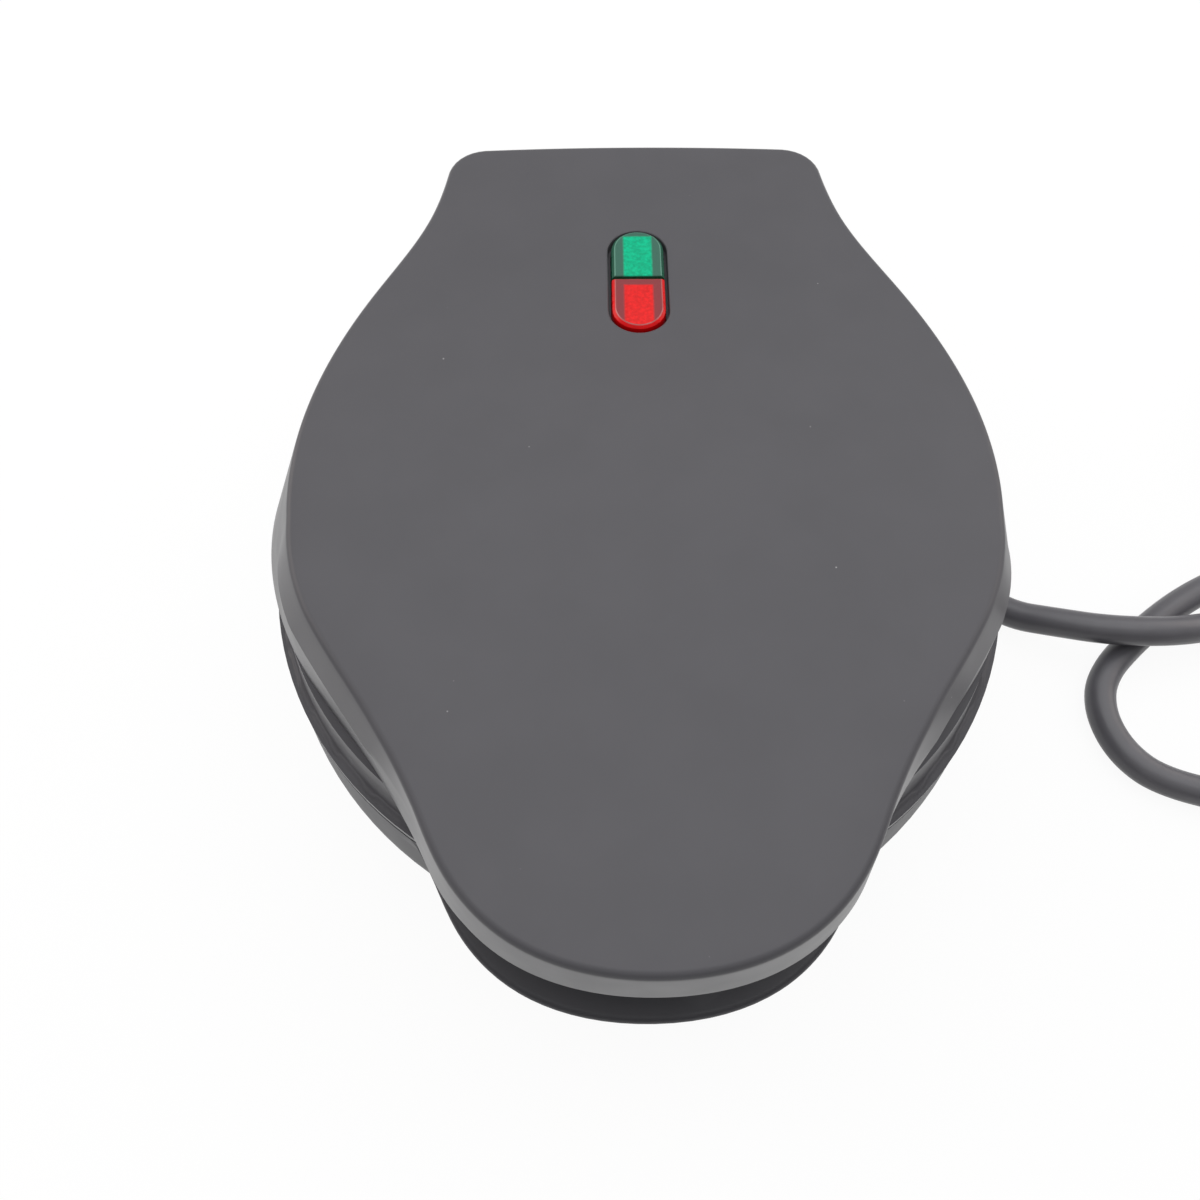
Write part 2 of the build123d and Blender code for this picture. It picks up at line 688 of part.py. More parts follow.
def make_fuse():
    """A barrel with a straight lead at each end, lying on the back of the upper plate."""
    top = 2 * parting - plate_back
    barrel = fillet(Cylinder(fuse_radius, fuse_length).edges().filter_by(GeomType.CIRCLE), 0.6)
    barrel += Cylinder(fuse_lead, fuse_length + 2 * fuse_lead_length)
    return put(Rot(90, 0, 0) * barrel, fuse_x, 0, top + fuse_radius)


def lens_shape(grow, low, high):
    """Room of one lens at the rear half of the recess, grown all round by grow."""
    whole = pill(lens_width + 2 * grow, 2 * lens_length + lens_gap + 2 * grow, low, high)
    near, far = lens_y + lens_gap / 2, lens_y + recess_length
    return whole & block(-recess_width, recess_width, near, far, low, high)


def make_lens(front):
    """One lens: raised bevelled window and a flange under the cover."""
    top = crown_height(0, lens_y) + lens_proud
    window = lens_shape(0, seat_height, top)
    window = chamfer(window.faces().sort_by(Axis.Z)[-1].edges(), lens_bevel)
    flange = lens_shape(flange_lip, seat_height - lens_flange, seat_height)
    lens = window + flange
    if front:
        lens = put(Rot(0, 0, 180) * put(lens, y=-lens_y), y=lens_y)
    return lens


def make_lamp_holder():
    top = seat_height - lens_flange
    low = top - holder_depth
    width = recess_width + 2 * holder_wall
    length = recess_length + 2 * holder_wall
    body = pill(width, length, low, top)
    for side in (-1, 1):
        body += block(side * holder_screw_x - 3.4, side * holder_screw_x + 3.4, lens_y - 3.4, lens_y + 3.4,
                      top - 2, top)
        body += block(min(0, side * holder_screw_x), max(0, side * holder_screw_x), lens_y - 2, lens_y + 2,
                      top - 2, top)
    for side in (-1, 1):
        middle = lens_y + side * (lens_length + lens_gap) / 2
        half = lens_length / 2 - 0.6
        body -= block(-lens_width / 2 + 0.6, lens_width / 2 - 0.6, middle - half, middle + half,
                      low + holder_wall, top + 1)
        body -= disc(screw_small[0] + hole_clear, low, top + 1, side * holder_screw_x, lens_y)
    return body


def make_lamp(side):
    """A small glow lamp on the floor of its chamber."""
    floor = seat_height - lens_flange - holder_depth + holder_wall
    turned = Rot(90, 0, 0) * Cylinder(lamp_radius, lamp_length)
    glass = fillet(turned.edges().filter_by(GeomType.CIRCLE), lamp_radius * 0.6)
    return put(glass, 0, lens_y + side * (lens_length + lens_gap) / 2, floor + lamp_radius)


def make_holder_screws():
    height = seat_height - lens_flange - 2
    return [put(screw(screw_small, 5), side * holder_screw_x, lens_y, height) for side in (-1, 1)]


# Hinge pins and wiring

def make_hinge_pins():
    half = post_width / 2 + lug_gap + lug_width
    return [rod(pin_radius, side * post_middle - half, side * post_middle + half, hinge_y, hinge_z)
            for side in (-1, 1)]


def make_base_loom():
    """Sleeved leads from the terminal block up to the hinge line, and along it."""
    block_top = cover_top + block_size[2]
    points = [(-loom_x, block_y, block_top), (-loom_x, block_y, block_top + 6),
              (-loom_x, hinge_y, block_top + 12), (-loom_x, hinge_y, hinge_z),
              (-loom_gap / 2, hinge_y, hinge_z)]
    return tube(arc_route(points, loom_bend)[0], loom_radius)


def lid_loom_points():
    """The loom of the lid, from the hinge line past the lamp holder to the middle of the lid."""
    over = 2 * parting - shield_floor + loom_radius + 1.5
    beside = holder_screw_x + 18.4
    return [(loom_gap / 2, hinge_y, hinge_z), (loom_x, hinge_y, hinge_z), (loom_x, hinge_y - 1, seam + 8),
            (beside - 5, hinge_y - 19, over + 0.5), (beside, hinge_y - 43, over),
            (beside, hinge_y - 67, over)]


def make_lid_loom():
    """Sleeved leads from the hinge line up through the lid."""
    return tube(arc_route(lid_loom_points(), loom_bend)[0], loom_radius)


def make_terminal_block():
    length, depth, height = block_size
    low = cover_top
    body = block(block_x - length / 2, block_x + length / 2, block_y - depth / 2, block_y + depth / 2,
                 low, low + height)
    for count in range(3):
        x, way = terminal_way(count)[0], terminal_way(count)[2]
        body -= put(Rot(90, 0, 0) * Cylinder(1.5, depth + 2), x, block_y, way)
        body -= disc(1.8, way, low + height + 1, x, block_y - depth * 0.28)
    groove = block_x + length / 6.4
    body -= block(groove - 0.6, groove + 0.6, block_y - depth, block_y + depth,
                  low + height * 0.75, low + height + 1)
    return body


def make_inner_cord():
    start = base_rear_reach - wall - boot_flange
    turned = Rot(90, 0, 0) * Cylinder(cord_diameter / 2, start - (clamp_y - 7),
                                      align=(Align.CENTER, Align.CENTER, Align.MIN))
    return put(turned, cord_x, start, cord_z)


def make_cord_clamp():
    width, depth, height = clamp_size
    low = cord_z + cord_diameter / 2
    bar = block(cord_x - width / 2, cord_x + width / 2, clamp_y - depth / 2, clamp_y + depth / 2,
                low, low + height)
    for side in (-1, 1):
        bar -= disc(screw_small[0] + hole_clear, low - 1, low + height + 1,
                    cord_x + side * clamp_screw_x, clamp_y)
    return bar


def make_clamp_screws():
    height = cord_z + cord_diameter / 2 + clamp_size[2]
    turned = Rot(180, 0, 0) * screw(screw_small, 8)
    return [put(turned, cord_x + side * clamp_screw_x, clamp_y, height) for side in (-1, 1)]


def make_boot():
    """The tapered strain relief that leads the cord out through the rear wall."""
    face = base_rear_reach
    profile = Polyline([(0, 0), (boot_collar, 0), (boot_collar, boot_flange), (boot_neck, boot_flange),
                        (boot_neck, boot_flange + wall), (boot_root, boot_flange + wall),
                        (boot_root, 2 * boot_flange + wall), (boot_root - 0.8, 2 * boot_flange + wall + 2),
                        (boot_tip, boot_flange + wall + boot_length), (0, boot_flange + wall + boot_length)],
                       close=True)
    body = revolve(make_face(profile), axis=Axis.Y)
    for count in range(4):
        y = 2 * boot_flange + wall + 6 + count * 6
        groove = Rot(90, 0, 0) * (Cylinder(boot_root + 1, 1.4) - Cylinder(boot_tip - 0.2, 3))
        body -= put(groove, 0, y, 0)
    return put(body, cord_x, face - wall - boot_flange, cord_z)


# Wires

def element_pin(side):
    """Place of one terminal pin of the lower heating element: x, y, low end, high end."""
    angle = 90 - side * element_gap / 2
    x, y = polar(element_ring, angle)
    along = Vector(-math.sin(math.radians(angle)), math.cos(math.radians(angle))) * side
    high = plate_back - channel_depth - element_bend - element_leg
    return x + along.X * element_bend, y + along.Y * element_bend, high - pin_length, high


def terminal_way(count):
    """Place of the front mouth of one of the three ways of the terminal block."""
    x = block_x + (count - 1) * block_size[0] / 3.2
    return x, block_y - block_size[1] / 2, cover_top + block_size[2] * 0.4


def make_base_wires():
    """Two leads from the terminal block to the element, and one to the screw that earths the plate."""
    wires = []
    for side, count in ((-1, 0), (1, 2)):
        x, y, low, high = element_pin(side)
        start = terminal_way(count)
        middle = (low + high) / 2
        front = y + pin_size + wire_radius / 2
        points = [start, (start[0], start[1] - 18, start[2]), (x - side * 3, front + 10, middle - 1.5),
                  (x, front + 5, middle), (x, front - wire_radius / 2, middle)]
        wires.append(tube(arc_route(points, wire_bend)[0], wire_radius))
    start = terminal_way(1)
    x, y = polar(plate_boss_ring, plate_boss_angles[1])
    head = shield_floor - screw_large[2]
    points = [start, (start[0], start[1] - 6, start[2]), (x + 6, y + 20, start[2] + 1),
              (x, y, head - 7), (x, y, head)]
    wires.append(tube(arc_route(points, wire_bend)[0], wire_radius))
    return wires


def make_lid_wires():
    """Leads from the loom to the thermostat, and on to the upper element."""
    tab = 2 * parting - plate_back + thermostat_pad + thermostat_height + tab_sheet + wire_radius
    end = lid_loom_points()[-1]
    to_thermostat = [end, (end[0], end[1] - 8, end[2]), (end[0] - 9, 0, end[2] - 1),
                     (tab_reach + 6, 0, tab), (tab_reach - 1, 0, tab)]
    x, y, low, high = element_pin(-1)
    height = 2 * parting - (low + high) / 2
    to_element = [(1 - tab_reach, 0, tab), (-tab_reach - 6, 0.5, tab), (x, y - 18, tab + 2),
                  (x, y - 8, height), (x, y - pin_size, height)]
    return [tube(arc_route(points, wire_bend)[0], wire_radius) for points in (to_thermostat, to_element)]


# Free cord, coil and plug

def plug_point(along):
    """A point on the plug's axis, by its distance from the end of the plug's strain relief."""
    angle = math.radians(plug_heading)
    return plug_place[0] + along * math.cos(angle), plug_place[1] + along * math.sin(angle), plug_z


def free_route():
    """The cord from the strain relief to the coil."""
    x, y = coil_centre
    start = [(cord_x, boot_end, cord_z), (cord_x, boot_end + first_run, cord_z)]
    table = [(rim_radius + right, rim_radius + back, height) for right, back, height in cord_points]
    coil_start = (x - cord_diameter, y - coil_radius, coil_z)
    return start + table + [(coil_start[0] - end_run, coil_start[1], coil_z), coil_start]


def tail_route():
    """The cord from the coil to the plug."""
    x, y = coil_centre
    x, y, z = x + coil_radius, y + cord_diameter, coil_z + coil_pitch
    return [(x, y, z), (x, y + end_run, z), plug_point(-end_run), plug_point(0)]


def coil_edges():
    """The edges of the wound turns, from the free cord to the tail."""
    x, y = coil_centre
    low, high = coil_z, coil_z + coil_pitch
    inner = coil_radius - coil_pitch
    stops = [(-coil_radius, low), (coil_radius, low), (-inner, low), (inner, high), (-coil_radius, high)]
    edges = [Line((x - cord_diameter, y - coil_radius, low), (x, y - coil_radius, low))]
    for count, ((y0, z0), (y1, z1)) in enumerate(zip(stops, stops[1:])):
        side = 1 if count % 2 == 0 else -1
        middle = (x + side * abs(y1 - y0) / 2, y + (y0 + y1) / 2, (z0 + z1) / 2)
        edges.append(ThreePointArc((x, y + y0, z0), middle, (x, y + y1, z1)))
    slant = coil_radius * math.sqrt(0.5)
    edges.append(ThreePointArc((x, y - coil_radius, high), (x + slant, y - slant, high),
                               (x + coil_radius, y, high)))
    edges.append(Line((x + coil_radius, y, high), (x + coil_radius, y + cord_diameter, high)))
    return edges


def least_gap(edges):
    """Smallest distance between two turns of the coil, skin to skin."""
    points, run = [], 0.0
    for edge in edges:
        steps = max(2, round(edge.length / 2))
        points += [(run + edge.length * step / steps, edge @ (step / steps)) for step in range(steps)]
        run += edge.length
    apart = [(a - b).length for s, a in points for t, b in points if t - s > 6 * cord_diameter]
    return min(apart) - cord_diameter


def make_cord(route, name):
    """A plain tube along a route; prints its radii and tests its volume."""
    path, radii = arc_route(route)
    body = tube(path, cord_diameter / 2)
    share = body.volume / (math.pi * cord_diameter**2 / 4 * path.length)
    print(name, "length", round(path.length), "volume share", round(share, 4),
          "radii", [round(radius, 1) for radius in radii])
    return body


def make_coil():
    edges = coil_edges()
    path = Wire(edges)
    body = tube(path, cord_diameter / 2)
    share = body.volume / (math.pi * cord_diameter**2 / 4 * path.length)
    print("cord_coil length", round(path.length), "volume share", round(share, 4),
          "least gap", round(least_gap(edges), 2))
    return body


def make_tie():
    """A band round both strands on the left of the coil."""
    offset = coil_pitch / 2
    turn = coil_radius - offset
    x, y = coil_centre[0] - math.sqrt(turn**2 - offset**2), coil_centre[1]
    low = coil_z - cord_diameter / 2 - tie_room
    high = coil_z + coil_pitch + cord_diameter / 2 + tie_room
    width = cord_diameter + 2 * tie_side_room
    inner = RectangleRounded(width, high - low, cord_diameter / 2)
    outer = RectangleRounded(width + 2 * tie_thickness, high - low + 2 * tie_thickness,
                             cord_diameter / 2 + tie_thickness)
    band = extrude(outer - inner, amount=tie_width / 2, both=True)
    return put(Rot(90, 0, 0) * band, x, y, (low + high) / 2)


def at_plug(shape):
    """A piece of the plug, from its own frame (pins along +Y) to its place on the table."""
    return put(Rot(0, 0, plug_heading - 90) * shape, *plug_point(0))


def plug_front():
    """Distance from the end of the strain relief to the face that holds the pins."""
    return plug_boot[2] + plug_grip[2] + plug_head[1]


def make_plug_body():
    grip, head = plug_boot[2], plug_boot[2] + plug_grip[2]
    front = plug_front()
    profile = Polyline([(0, 0), (plug_boot[0], 0), (plug_boot[1], grip), (plug_grip[0], grip),
                        (plug_grip[1], head), (plug_head[0], head + 1.5), (plug_head[0], front), (0, front)],
                       close=True)
    body = revolve(make_face(profile), axis=Axis.Y)
    body = fillet(body.edges().filter_by(GeomType.CIRCLE).sort_by(Axis.Y)[-1:], 1.2)
    width, depth = plug_notch
    for side in (-1, 1):
        edge = side * (plug_head[0] - depth)
        far = side * (plug_head[0] + 1)
        body -= block(-width / 2, width / 2, head + 1, front + 1, min(edge, far), max(edge, far))
        hole = put(Rot(-90, 0, 0) * Cylinder(plug_root_radius + thread_fit, plug_pin_root + 1,
                                             align=(Align.CENTER, Align.CENTER, Align.MIN)),
                   side * plug_pin_spacing / 2, front - plug_pin_root)
        body -= hole
    return at_plug(body)


def make_plug_pins():
    pins = []
    for side in (-1, 1):
        pin = disc(plug_pin_radius, plug_pin_root, plug_pin_root + plug_pin_length)
        pin = fillet(pin.edges().filter_by(GeomType.CIRCLE).sort_by(Axis.Z)[-1:], plug_tip_round)
        pin += disc(plug_root_radius, 0, plug_pin_root)
        pins.append(at_plug(put(Rot(-90, 0, 0) * pin, side * plug_pin_spacing / 2,
                                plug_front() - plug_pin_root)))
    return pins


def make_earth_clips():
    width, sheet, length = earth_clip
    floor = plug_head[0] - plug_notch[1]
    clips = []
    for side in (-1, 1):
        low, high = sorted((side * floor, side * (floor + sheet)))
        clips.append(at_plug(block(-width / 2, width / 2, plug_front() - length, plug_front(), low, high)))
    return clips


def save(name, shape):
    """Write one sub-part, moved to the part's own origin."""
    shapes = shape if isinstance(shape, list) else [shape]
    whole = Compound(children=[put(piece, y=centre_y) for piece in shapes]) if len(shapes) > 1 else put(
        shapes[0], y=centre_y)
    export_step(whole, f"parts/{name}.step")
    print(name, round(sum(piece.volume for piece in shapes)))


def main():
    os.makedirs("parts", exist_ok=True)
    plate = make_plate()
    element = make_element()
    shield = make_shield()
    plate_screws = make_plate_screws()
    save("lid_cover", make_lid_cover())
    save("lid_frame", make_lid_frame())
    save("lid_screws", make_lid_screws())
    save("upper_plate", flip(plate))
    save("upper_element", flip(element))
    save("upper_shield", flip(shield))
    save("upper_plate_screws", [flip(piece) for piece in plate_screws])
    save("thermostat", make_thermostat())
    save("thermal_fuse", make_fuse())
    save("green_lens", make_lens(front=False))
    save("red_lens", make_lens(front=True))
    save("lamp_holder", make_lamp_holder())
    save("lamp_holder_screws", make_holder_screws())
    save("green_lamp", make_lamp(1))
    save("red_lamp", make_lamp(-1))
    save("lid_loom", make_lid_loom())
    save("hinge_pins", make_hinge_pins())
    save("base_housing", make_base_housing())
    save("base_cover", make_base_cover())
    save("base_cover_screws", make_base_cover_screws())
    save("rubber_feet", make_feet())
    save("lower_plate", plate)
    save("lower_element", element)
    save("lower_shield", shield)
    save("lower_plate_screws", plate_screws)
    save("terminal_block", make_terminal_block())
    save("inner_cord", make_inner_cord())
    save("cord_clamp", make_cord_clamp())
    save("cord_clamp_screws", make_clamp_screws())
    save("base_loom", make_base_loom())
    save("base_wires", make_base_wires())
    save("lid_wires", make_lid_wires())
    save("strain_relief", make_boot())
    save("power_cord", make_cord(free_route(), "power_cord"))
    save("cord_coil", make_coil())
    save("cord_tail", make_cord(tail_route(), "cord_tail"))
    save("cord_tie", make_tie())
    save("plug_body", make_plug_body())
    save("plug_pins", make_plug_pins())
    save("plug_earth_clips", make_earth_clips())


main()
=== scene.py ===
"""Looks of the mini waffle maker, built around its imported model."""

import logging
import math
from dataclasses import dataclass, field
from enum import Enum
from typing import Iterable, Sequence

import bpy
import numpy as np
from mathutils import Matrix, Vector

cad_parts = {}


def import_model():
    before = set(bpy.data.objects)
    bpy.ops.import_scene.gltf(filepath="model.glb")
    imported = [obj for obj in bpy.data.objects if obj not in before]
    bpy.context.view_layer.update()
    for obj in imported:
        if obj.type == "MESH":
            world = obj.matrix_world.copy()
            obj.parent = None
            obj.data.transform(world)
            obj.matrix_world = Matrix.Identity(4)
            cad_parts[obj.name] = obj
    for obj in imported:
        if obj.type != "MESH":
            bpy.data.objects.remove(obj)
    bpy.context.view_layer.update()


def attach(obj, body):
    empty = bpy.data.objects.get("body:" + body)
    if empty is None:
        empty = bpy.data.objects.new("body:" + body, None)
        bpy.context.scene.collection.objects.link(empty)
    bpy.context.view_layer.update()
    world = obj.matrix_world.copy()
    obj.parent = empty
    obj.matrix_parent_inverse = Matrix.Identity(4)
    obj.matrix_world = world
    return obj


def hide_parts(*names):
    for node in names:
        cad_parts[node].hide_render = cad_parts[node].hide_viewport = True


LOG = logging.getLogger("waffle_maker")
MM = 0.001
CENTRE_Y = 2.5             # the round body's centre in the part's frame, in mm
RIM_RADIUS = 75.3          # of the lid's rim lip, in mm
Point = tuple[float, float, float]
Pair = tuple[float, float]


def at(x: float, y: float, z: float) -> Vector:
    """A place given in millimetres from the round body's centre, in metres in the part's frame."""
    return Vector((x * MM, (y + CENTRE_Y) * MM, z * MM))


class Body(Enum):
    """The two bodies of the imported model."""

    BASE = "base"
    LID = "lid"


class Slot(Enum):
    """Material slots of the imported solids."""

    HOUSING = "housing_black"
    GREEN = "green_window"
    RED = "red_window"
    LEAD = "lead_black"
    TIE = "tie_black"
    PLUG = "plug_metal"


# Finishes

DUST_CELL = 3.4            # spacing of the specks of dust, in mm
DUST_PATCH = 6.0           # size of the patches that have specks, in mm
DUST_FADE = 1.6            # where a speck has faded out, as a share of its own size
DUST_FROM, DUST_FULL = 0.58, 0.66    # noise at which a patch begins and at which it is full
DUST_TONE = (0.45, 0.45, 0.45)
PAINTED_LIGHT_PANEL_BORDER = 1.1         # width of the soft border of a painted light field, in mm
GLOSS_MOTTLE = 0.6         # size of the gloss's mottling, as a share of the colour's
NOISE_LOW, NOISE_HIGH = 0.3, 0.7     # values between which nearly all of a noise lies
WHITE, BLACK = (1.0, 1.0, 1.0), (0.0, 0.0, 0.0)


@dataclass(frozen=True)
class Finish:
    """A finish with fine grain, soft mottling and a little uneven gloss.

    Sizes of the grain and of the mottling are in millimetres. A finish with a painted light field,
    given by its half width, its front and its rear end in the part's frame, has a darker colour
    beside it as painted shade.
    """

    name: str
    colour: Point
    roughness: float = 0.5
    metallic: float = 0.0
    grain: float = 0.12
    grain_depth: float = 0.01
    mottle: float = 9.0
    mottle_share: float = 0.06
    gloss_share: float = 0.05
    specular: float = 0.5
    coat: float = 0.0
    coat_roughness: float = 0.2
    transmission: float = 0.0
    ior: float = 1.5
    dust: float = 0.0
    streak: float = 1.0
    painted_light_panel: tuple[float, float, float] = (0.0, 0.0, 0.0)
    painted_shade_margin: Point = (0.0, 0.0, 0.0)

    def material(self) -> bpy.types.Material:
        """The finish as a node material, made once.

        Returns:
            The material, new or as made before.
        """
        known = bpy.data.materials.get(self.name)
        if known:
            return known
        material = bpy.data.materials.new(self.name)
        material.use_nodes = True
        tree = NodeTree(material)
        place = tree.add("ShaderNodeTexCoord").outputs["Object"]
        if self.streak != 1.0:
            stretch = tree.add("ShaderNodeMapping")
            stretch.inputs["Scale"].default_value = (1.0, self.streak, 1.0)
            tree.link(place, stretch.inputs["Vector"])
            place = stretch.outputs["Vector"]
        self._colour(tree, place)
        self._gloss(tree, place)
        self._bump(tree, place)
        shader = tree.shader
        shader.inputs["Metallic"].default_value = self.metallic
        shader.inputs["Specular IOR Level"].default_value = self.specular
        shader.inputs["Coat Weight"].default_value = self.coat
        shader.inputs["Coat Roughness"].default_value = self.coat_roughness
        shader.inputs["Transmission Weight"].default_value = self.transmission
        shader.inputs["IOR"].default_value = self.ior
        return material

    def _colour(self, tree: "NodeTree", place: bpy.types.NodeSocket) -> None:
        """Gives the shader a softly mottled colour, with dust and a painted light field where it has them.

        Args:
            tree: The material's nodes.
            place: Socket that gives the place.
        """
        cloud = tree.noise(place, self.mottle, detail=3.0)
        low = [value * (1 - self.mottle_share) for value in self.colour]
        high = [value * (1 + self.mottle_share) for value in self.colour]
        colour = tree.ramp(cloud, ((0.35, low), (0.65, high)))
        if self.dust:
            colour = tree.mix(self._specks(tree, place), colour, DUST_TONE)
        # painted light: a brighter field where the pale lamp holder shows through the window, with painted
        # shade beside it
        if self.painted_light_panel[0]:
            colour = tree.mix(self._beside_painted_light_panel(tree, place), colour, self.painted_shade_margin)
        tree.link(colour, tree.shader.inputs["Base Color"])

    def _specks(self, tree: "NodeTree", place: bpy.types.NodeSocket) -> bpy.types.NodeSocket:
        """Where specks of dust lie: small dots in some patches only.

        Args:
            tree: The material's nodes.
            place: Socket that gives the place.

        Returns:
            The factor socket.
        """
        cells = tree.add("ShaderNodeTexVoronoi", feature="F1")
        cells.inputs["Scale"].default_value = 1 / (DUST_CELL * MM)
        tree.link(place, cells.inputs["Vector"])
        speck = tree.ramp(cells.outputs["Distance"], ((self.dust, WHITE), (self.dust * DUST_FADE, BLACK)))
        cloud = tree.noise(place, DUST_PATCH, detail=2.0)
        patch = tree.ramp(cloud, ((DUST_FROM, BLACK), (DUST_FULL, WHITE)))
        return tree.math("MULTIPLY", speck, patch)

    def _beside_painted_light_panel(self, tree: "NodeTree", place: bpy.types.NodeSocket) -> bpy.types.NodeSocket:
        """How far a place lies outside the painted light field, across its soft border.

        Args:
            tree: The material's nodes.
            place: Socket that gives the place.

        Returns:
            The factor socket, 0 inside and 1 outside.
        """
        half, front, rear = (value * MM for value in self.painted_light_panel)
        axes = tree.add("ShaderNodeSeparateXYZ")
        tree.link(place, axes.inputs["Vector"])
        beside = tree.math("SUBTRACT", tree.math("ABSOLUTE", axes.outputs["X"], 0.0), half)
        along = tree.math("ABSOLUTE", tree.math("SUBTRACT", axes.outputs["Y"], (front + rear) / 2), 0.0)
        beyond = tree.math("MAXIMUM", beside, tree.math("SUBTRACT", along, (rear - front) / 2))
        share = tree.math("ADD", tree.math("MULTIPLY", beyond, 1 / (PAINTED_LIGHT_PANEL_BORDER * MM)), 0.5)
        return tree.ramp(share, ((0.3, BLACK), (0.7, WHITE)))

    def _gloss(self, tree: "NodeTree", place: bpy.types.NodeSocket) -> None:
        """Gives the shader a roughness that varies a little.

        Args:
            tree: The material's nodes.
            place: Socket that gives the place.
        """
        cloud = tree.noise(place, self.mottle * GLOSS_MOTTLE, detail=2.0)
        low, high = self.roughness - self.gloss_share, self.roughness + self.gloss_share
        tree.link(tree.spread(cloud, low, high), tree.shader.inputs["Roughness"])

    def _bump(self, tree: "NodeTree", place: bpy.types.NodeSocket) -> None:
        """Gives the shader its grain.

        Args:
            tree: The material's nodes.
            place: Socket that gives the place.
        """
        grain = tree.noise(place, self.grain, detail=2.0)
        bump = tree.add("ShaderNodeBump")
        bump.inputs["Strength"].default_value = 1.0
        bump.inputs["Distance"].default_value = self.grain_depth * MM
        tree.link(grain, bump.inputs["Height"])
        tree.link(bump.outputs["Normal"], tree.shader.inputs["Normal"])


class NodeTree:
    """Short ways to add and join the nodes of one material."""

    def __init__(self, material: bpy.types.Material) -> None:
        """Starts from the material's own shader."""
        self.tree = material.node_tree
        self.shader = self.tree.nodes["Principled BSDF"]

    def add(self, kind: str, **settings: object) -> bpy.types.Node:
        """Adds a node.

        Args:
            kind: The node's type name.
            settings: Properties to set on it.

        Returns:
            The new node.
        """
        node = self.tree.nodes.new(kind)
        for key, value in settings.items():
            setattr(node, key, value)
        return node

    def link(self, source: bpy.types.NodeSocket, target: bpy.types.NodeSocket) -> None:
        """Joins two sockets."""
        self.tree.links.new(source, target)

    def noise(self, place: bpy.types.NodeSocket, size: float, detail: float) -> bpy.types.NodeSocket:
        """Noise with features of a size in millimetres.

        Args:
            place: Socket that gives the place.
            size: Size of a feature, in millimetres.
            detail: Octaves.

        Returns:
            The factor socket.
        """
        node = self.add("ShaderNodeTexNoise")
        node.inputs["Scale"].default_value = 1 / (size * MM)
        node.inputs["Detail"].default_value = detail
        self.link(place, node.inputs["Vector"])
        return node.outputs["Fac"]

    def ramp(self, source: bpy.types.NodeSocket,
             stops: Sequence[tuple[float, Sequence[float]]]) -> bpy.types.NodeSocket:
        """A colour ramp.

        Args:
            source: Socket that drives it.
            stops: Position and colour of each stop.

        Returns:
            The colour socket.
        """
        node = self.add("ShaderNodeValToRGB")
        elements = node.color_ramp.elements
        while len(elements) < len(stops):
            elements.new(0.5)
        for element, (position, colour) in zip(elements, stops):
            element.position = position
            element.color = (*colour[:3], 1.0)
        self.link(source, node.inputs["Fac"])
        return node.outputs["Color"]

    def math(self, operation: str, first: bpy.types.NodeSocket,
             second: bpy.types.NodeSocket | float) -> bpy.types.NodeSocket:
        """A math node.

        Args:
            operation: Name of its operation.
            first: Socket of its first value.
            second: Socket of its second value, or the value itself.

        Returns:
            The value socket.
        """
        node = self.add("ShaderNodeMath", operation=operation)
        self.link(first, node.inputs[0])
        if isinstance(second, bpy.types.NodeSocket):
            self.link(second, node.inputs[1])
        else:
            node.inputs[1].default_value = second
        return node.outputs["Value"]

    def mix(self, factor: bpy.types.NodeSocket, first: bpy.types.NodeSocket,
            second: Point) -> bpy.types.NodeSocket:
        """A mix of a colour socket and a plain colour.

        Args:
            factor: Socket of the plain colour's share.
            first: The colour socket.
            second: The plain colour.

        Returns:
            The colour socket of the mix.
        """
        node = self.add("ShaderNodeMix", data_type="RGBA")
        self.link(factor, node.inputs["Factor"])
        self.link(first, node.inputs["A"])
        node.inputs["B"].default_value = (*second, 1.0)
        return node.outputs["Result"]

    def spread(self, source: bpy.types.NodeSocket, low: float, high: float) -> bpy.types.NodeSocket:
        """Noise spread between two values.

        Args:
            source: Socket of the noise.
            low: Lower value.
            high: Upper value.

        Returns:
            The value socket.
        """
        node = self.add("ShaderNodeMapRange")
        node.inputs["From Min"].default_value = NOISE_LOW
        node.inputs["From Max"].default_value = NOISE_HIGH
        node.inputs["To Min"].default_value = low
        node.inputs["To Max"].default_value = high
        self.link(source, node.inputs["Value"])
        return node.outputs["Result"]


HOUSING = Finish("housing_plastic", (0.084, 0.083, 0.091), roughness=0.33, grain=0.35, grain_depth=0.004,
                 mottle=14.0, mottle_share=0.025, gloss_share=0.02, dust=0.03, specular=0.2)
# painted shade: the base has the lid's black plastic made darker, for the shade it lies in under the lid,
# and a little rougher
LOWER_HOUSING_PAINTED_SHADE = Finish("lower_housing_painted_shade", (0.042, 0.042, 0.048), roughness=0.46, grain=0.35,
                       grain_depth=0.006, mottle=14.0, mottle_share=0.03, gloss_share=0.02, specular=0.35)
COATING = Finish("non_stick_coating", (0.022, 0.022, 0.023), roughness=0.33, metallic=0.1, grain=0.25,
                 grain_depth=0.02, coat=0.25)
HEATER = Finish("heater_tube", (0.34, 0.29, 0.25), roughness=0.38, metallic=1.0, mottle=3.0,
                mottle_share=0.25, grain=0.2)
SHEET = Finish("pressed_sheet", (0.58, 0.58, 0.57), roughness=0.32, metallic=1.0, streak=12.0,
               grain=0.6, grain_depth=0.012)
ZINC = Finish("zinc_screw", (0.55, 0.55, 0.53), roughness=0.28, metallic=1.0, mottle=1.5, grain=0.15)
STEEL = Finish("ground_pin", (0.62, 0.62, 0.61), roughness=0.2, metallic=1.0, grain=0.1)
NICKEL = Finish("nickel_pin", (0.72, 0.69, 0.63), roughness=0.14, metallic=1.0, mottle=4.0, grain=0.2)
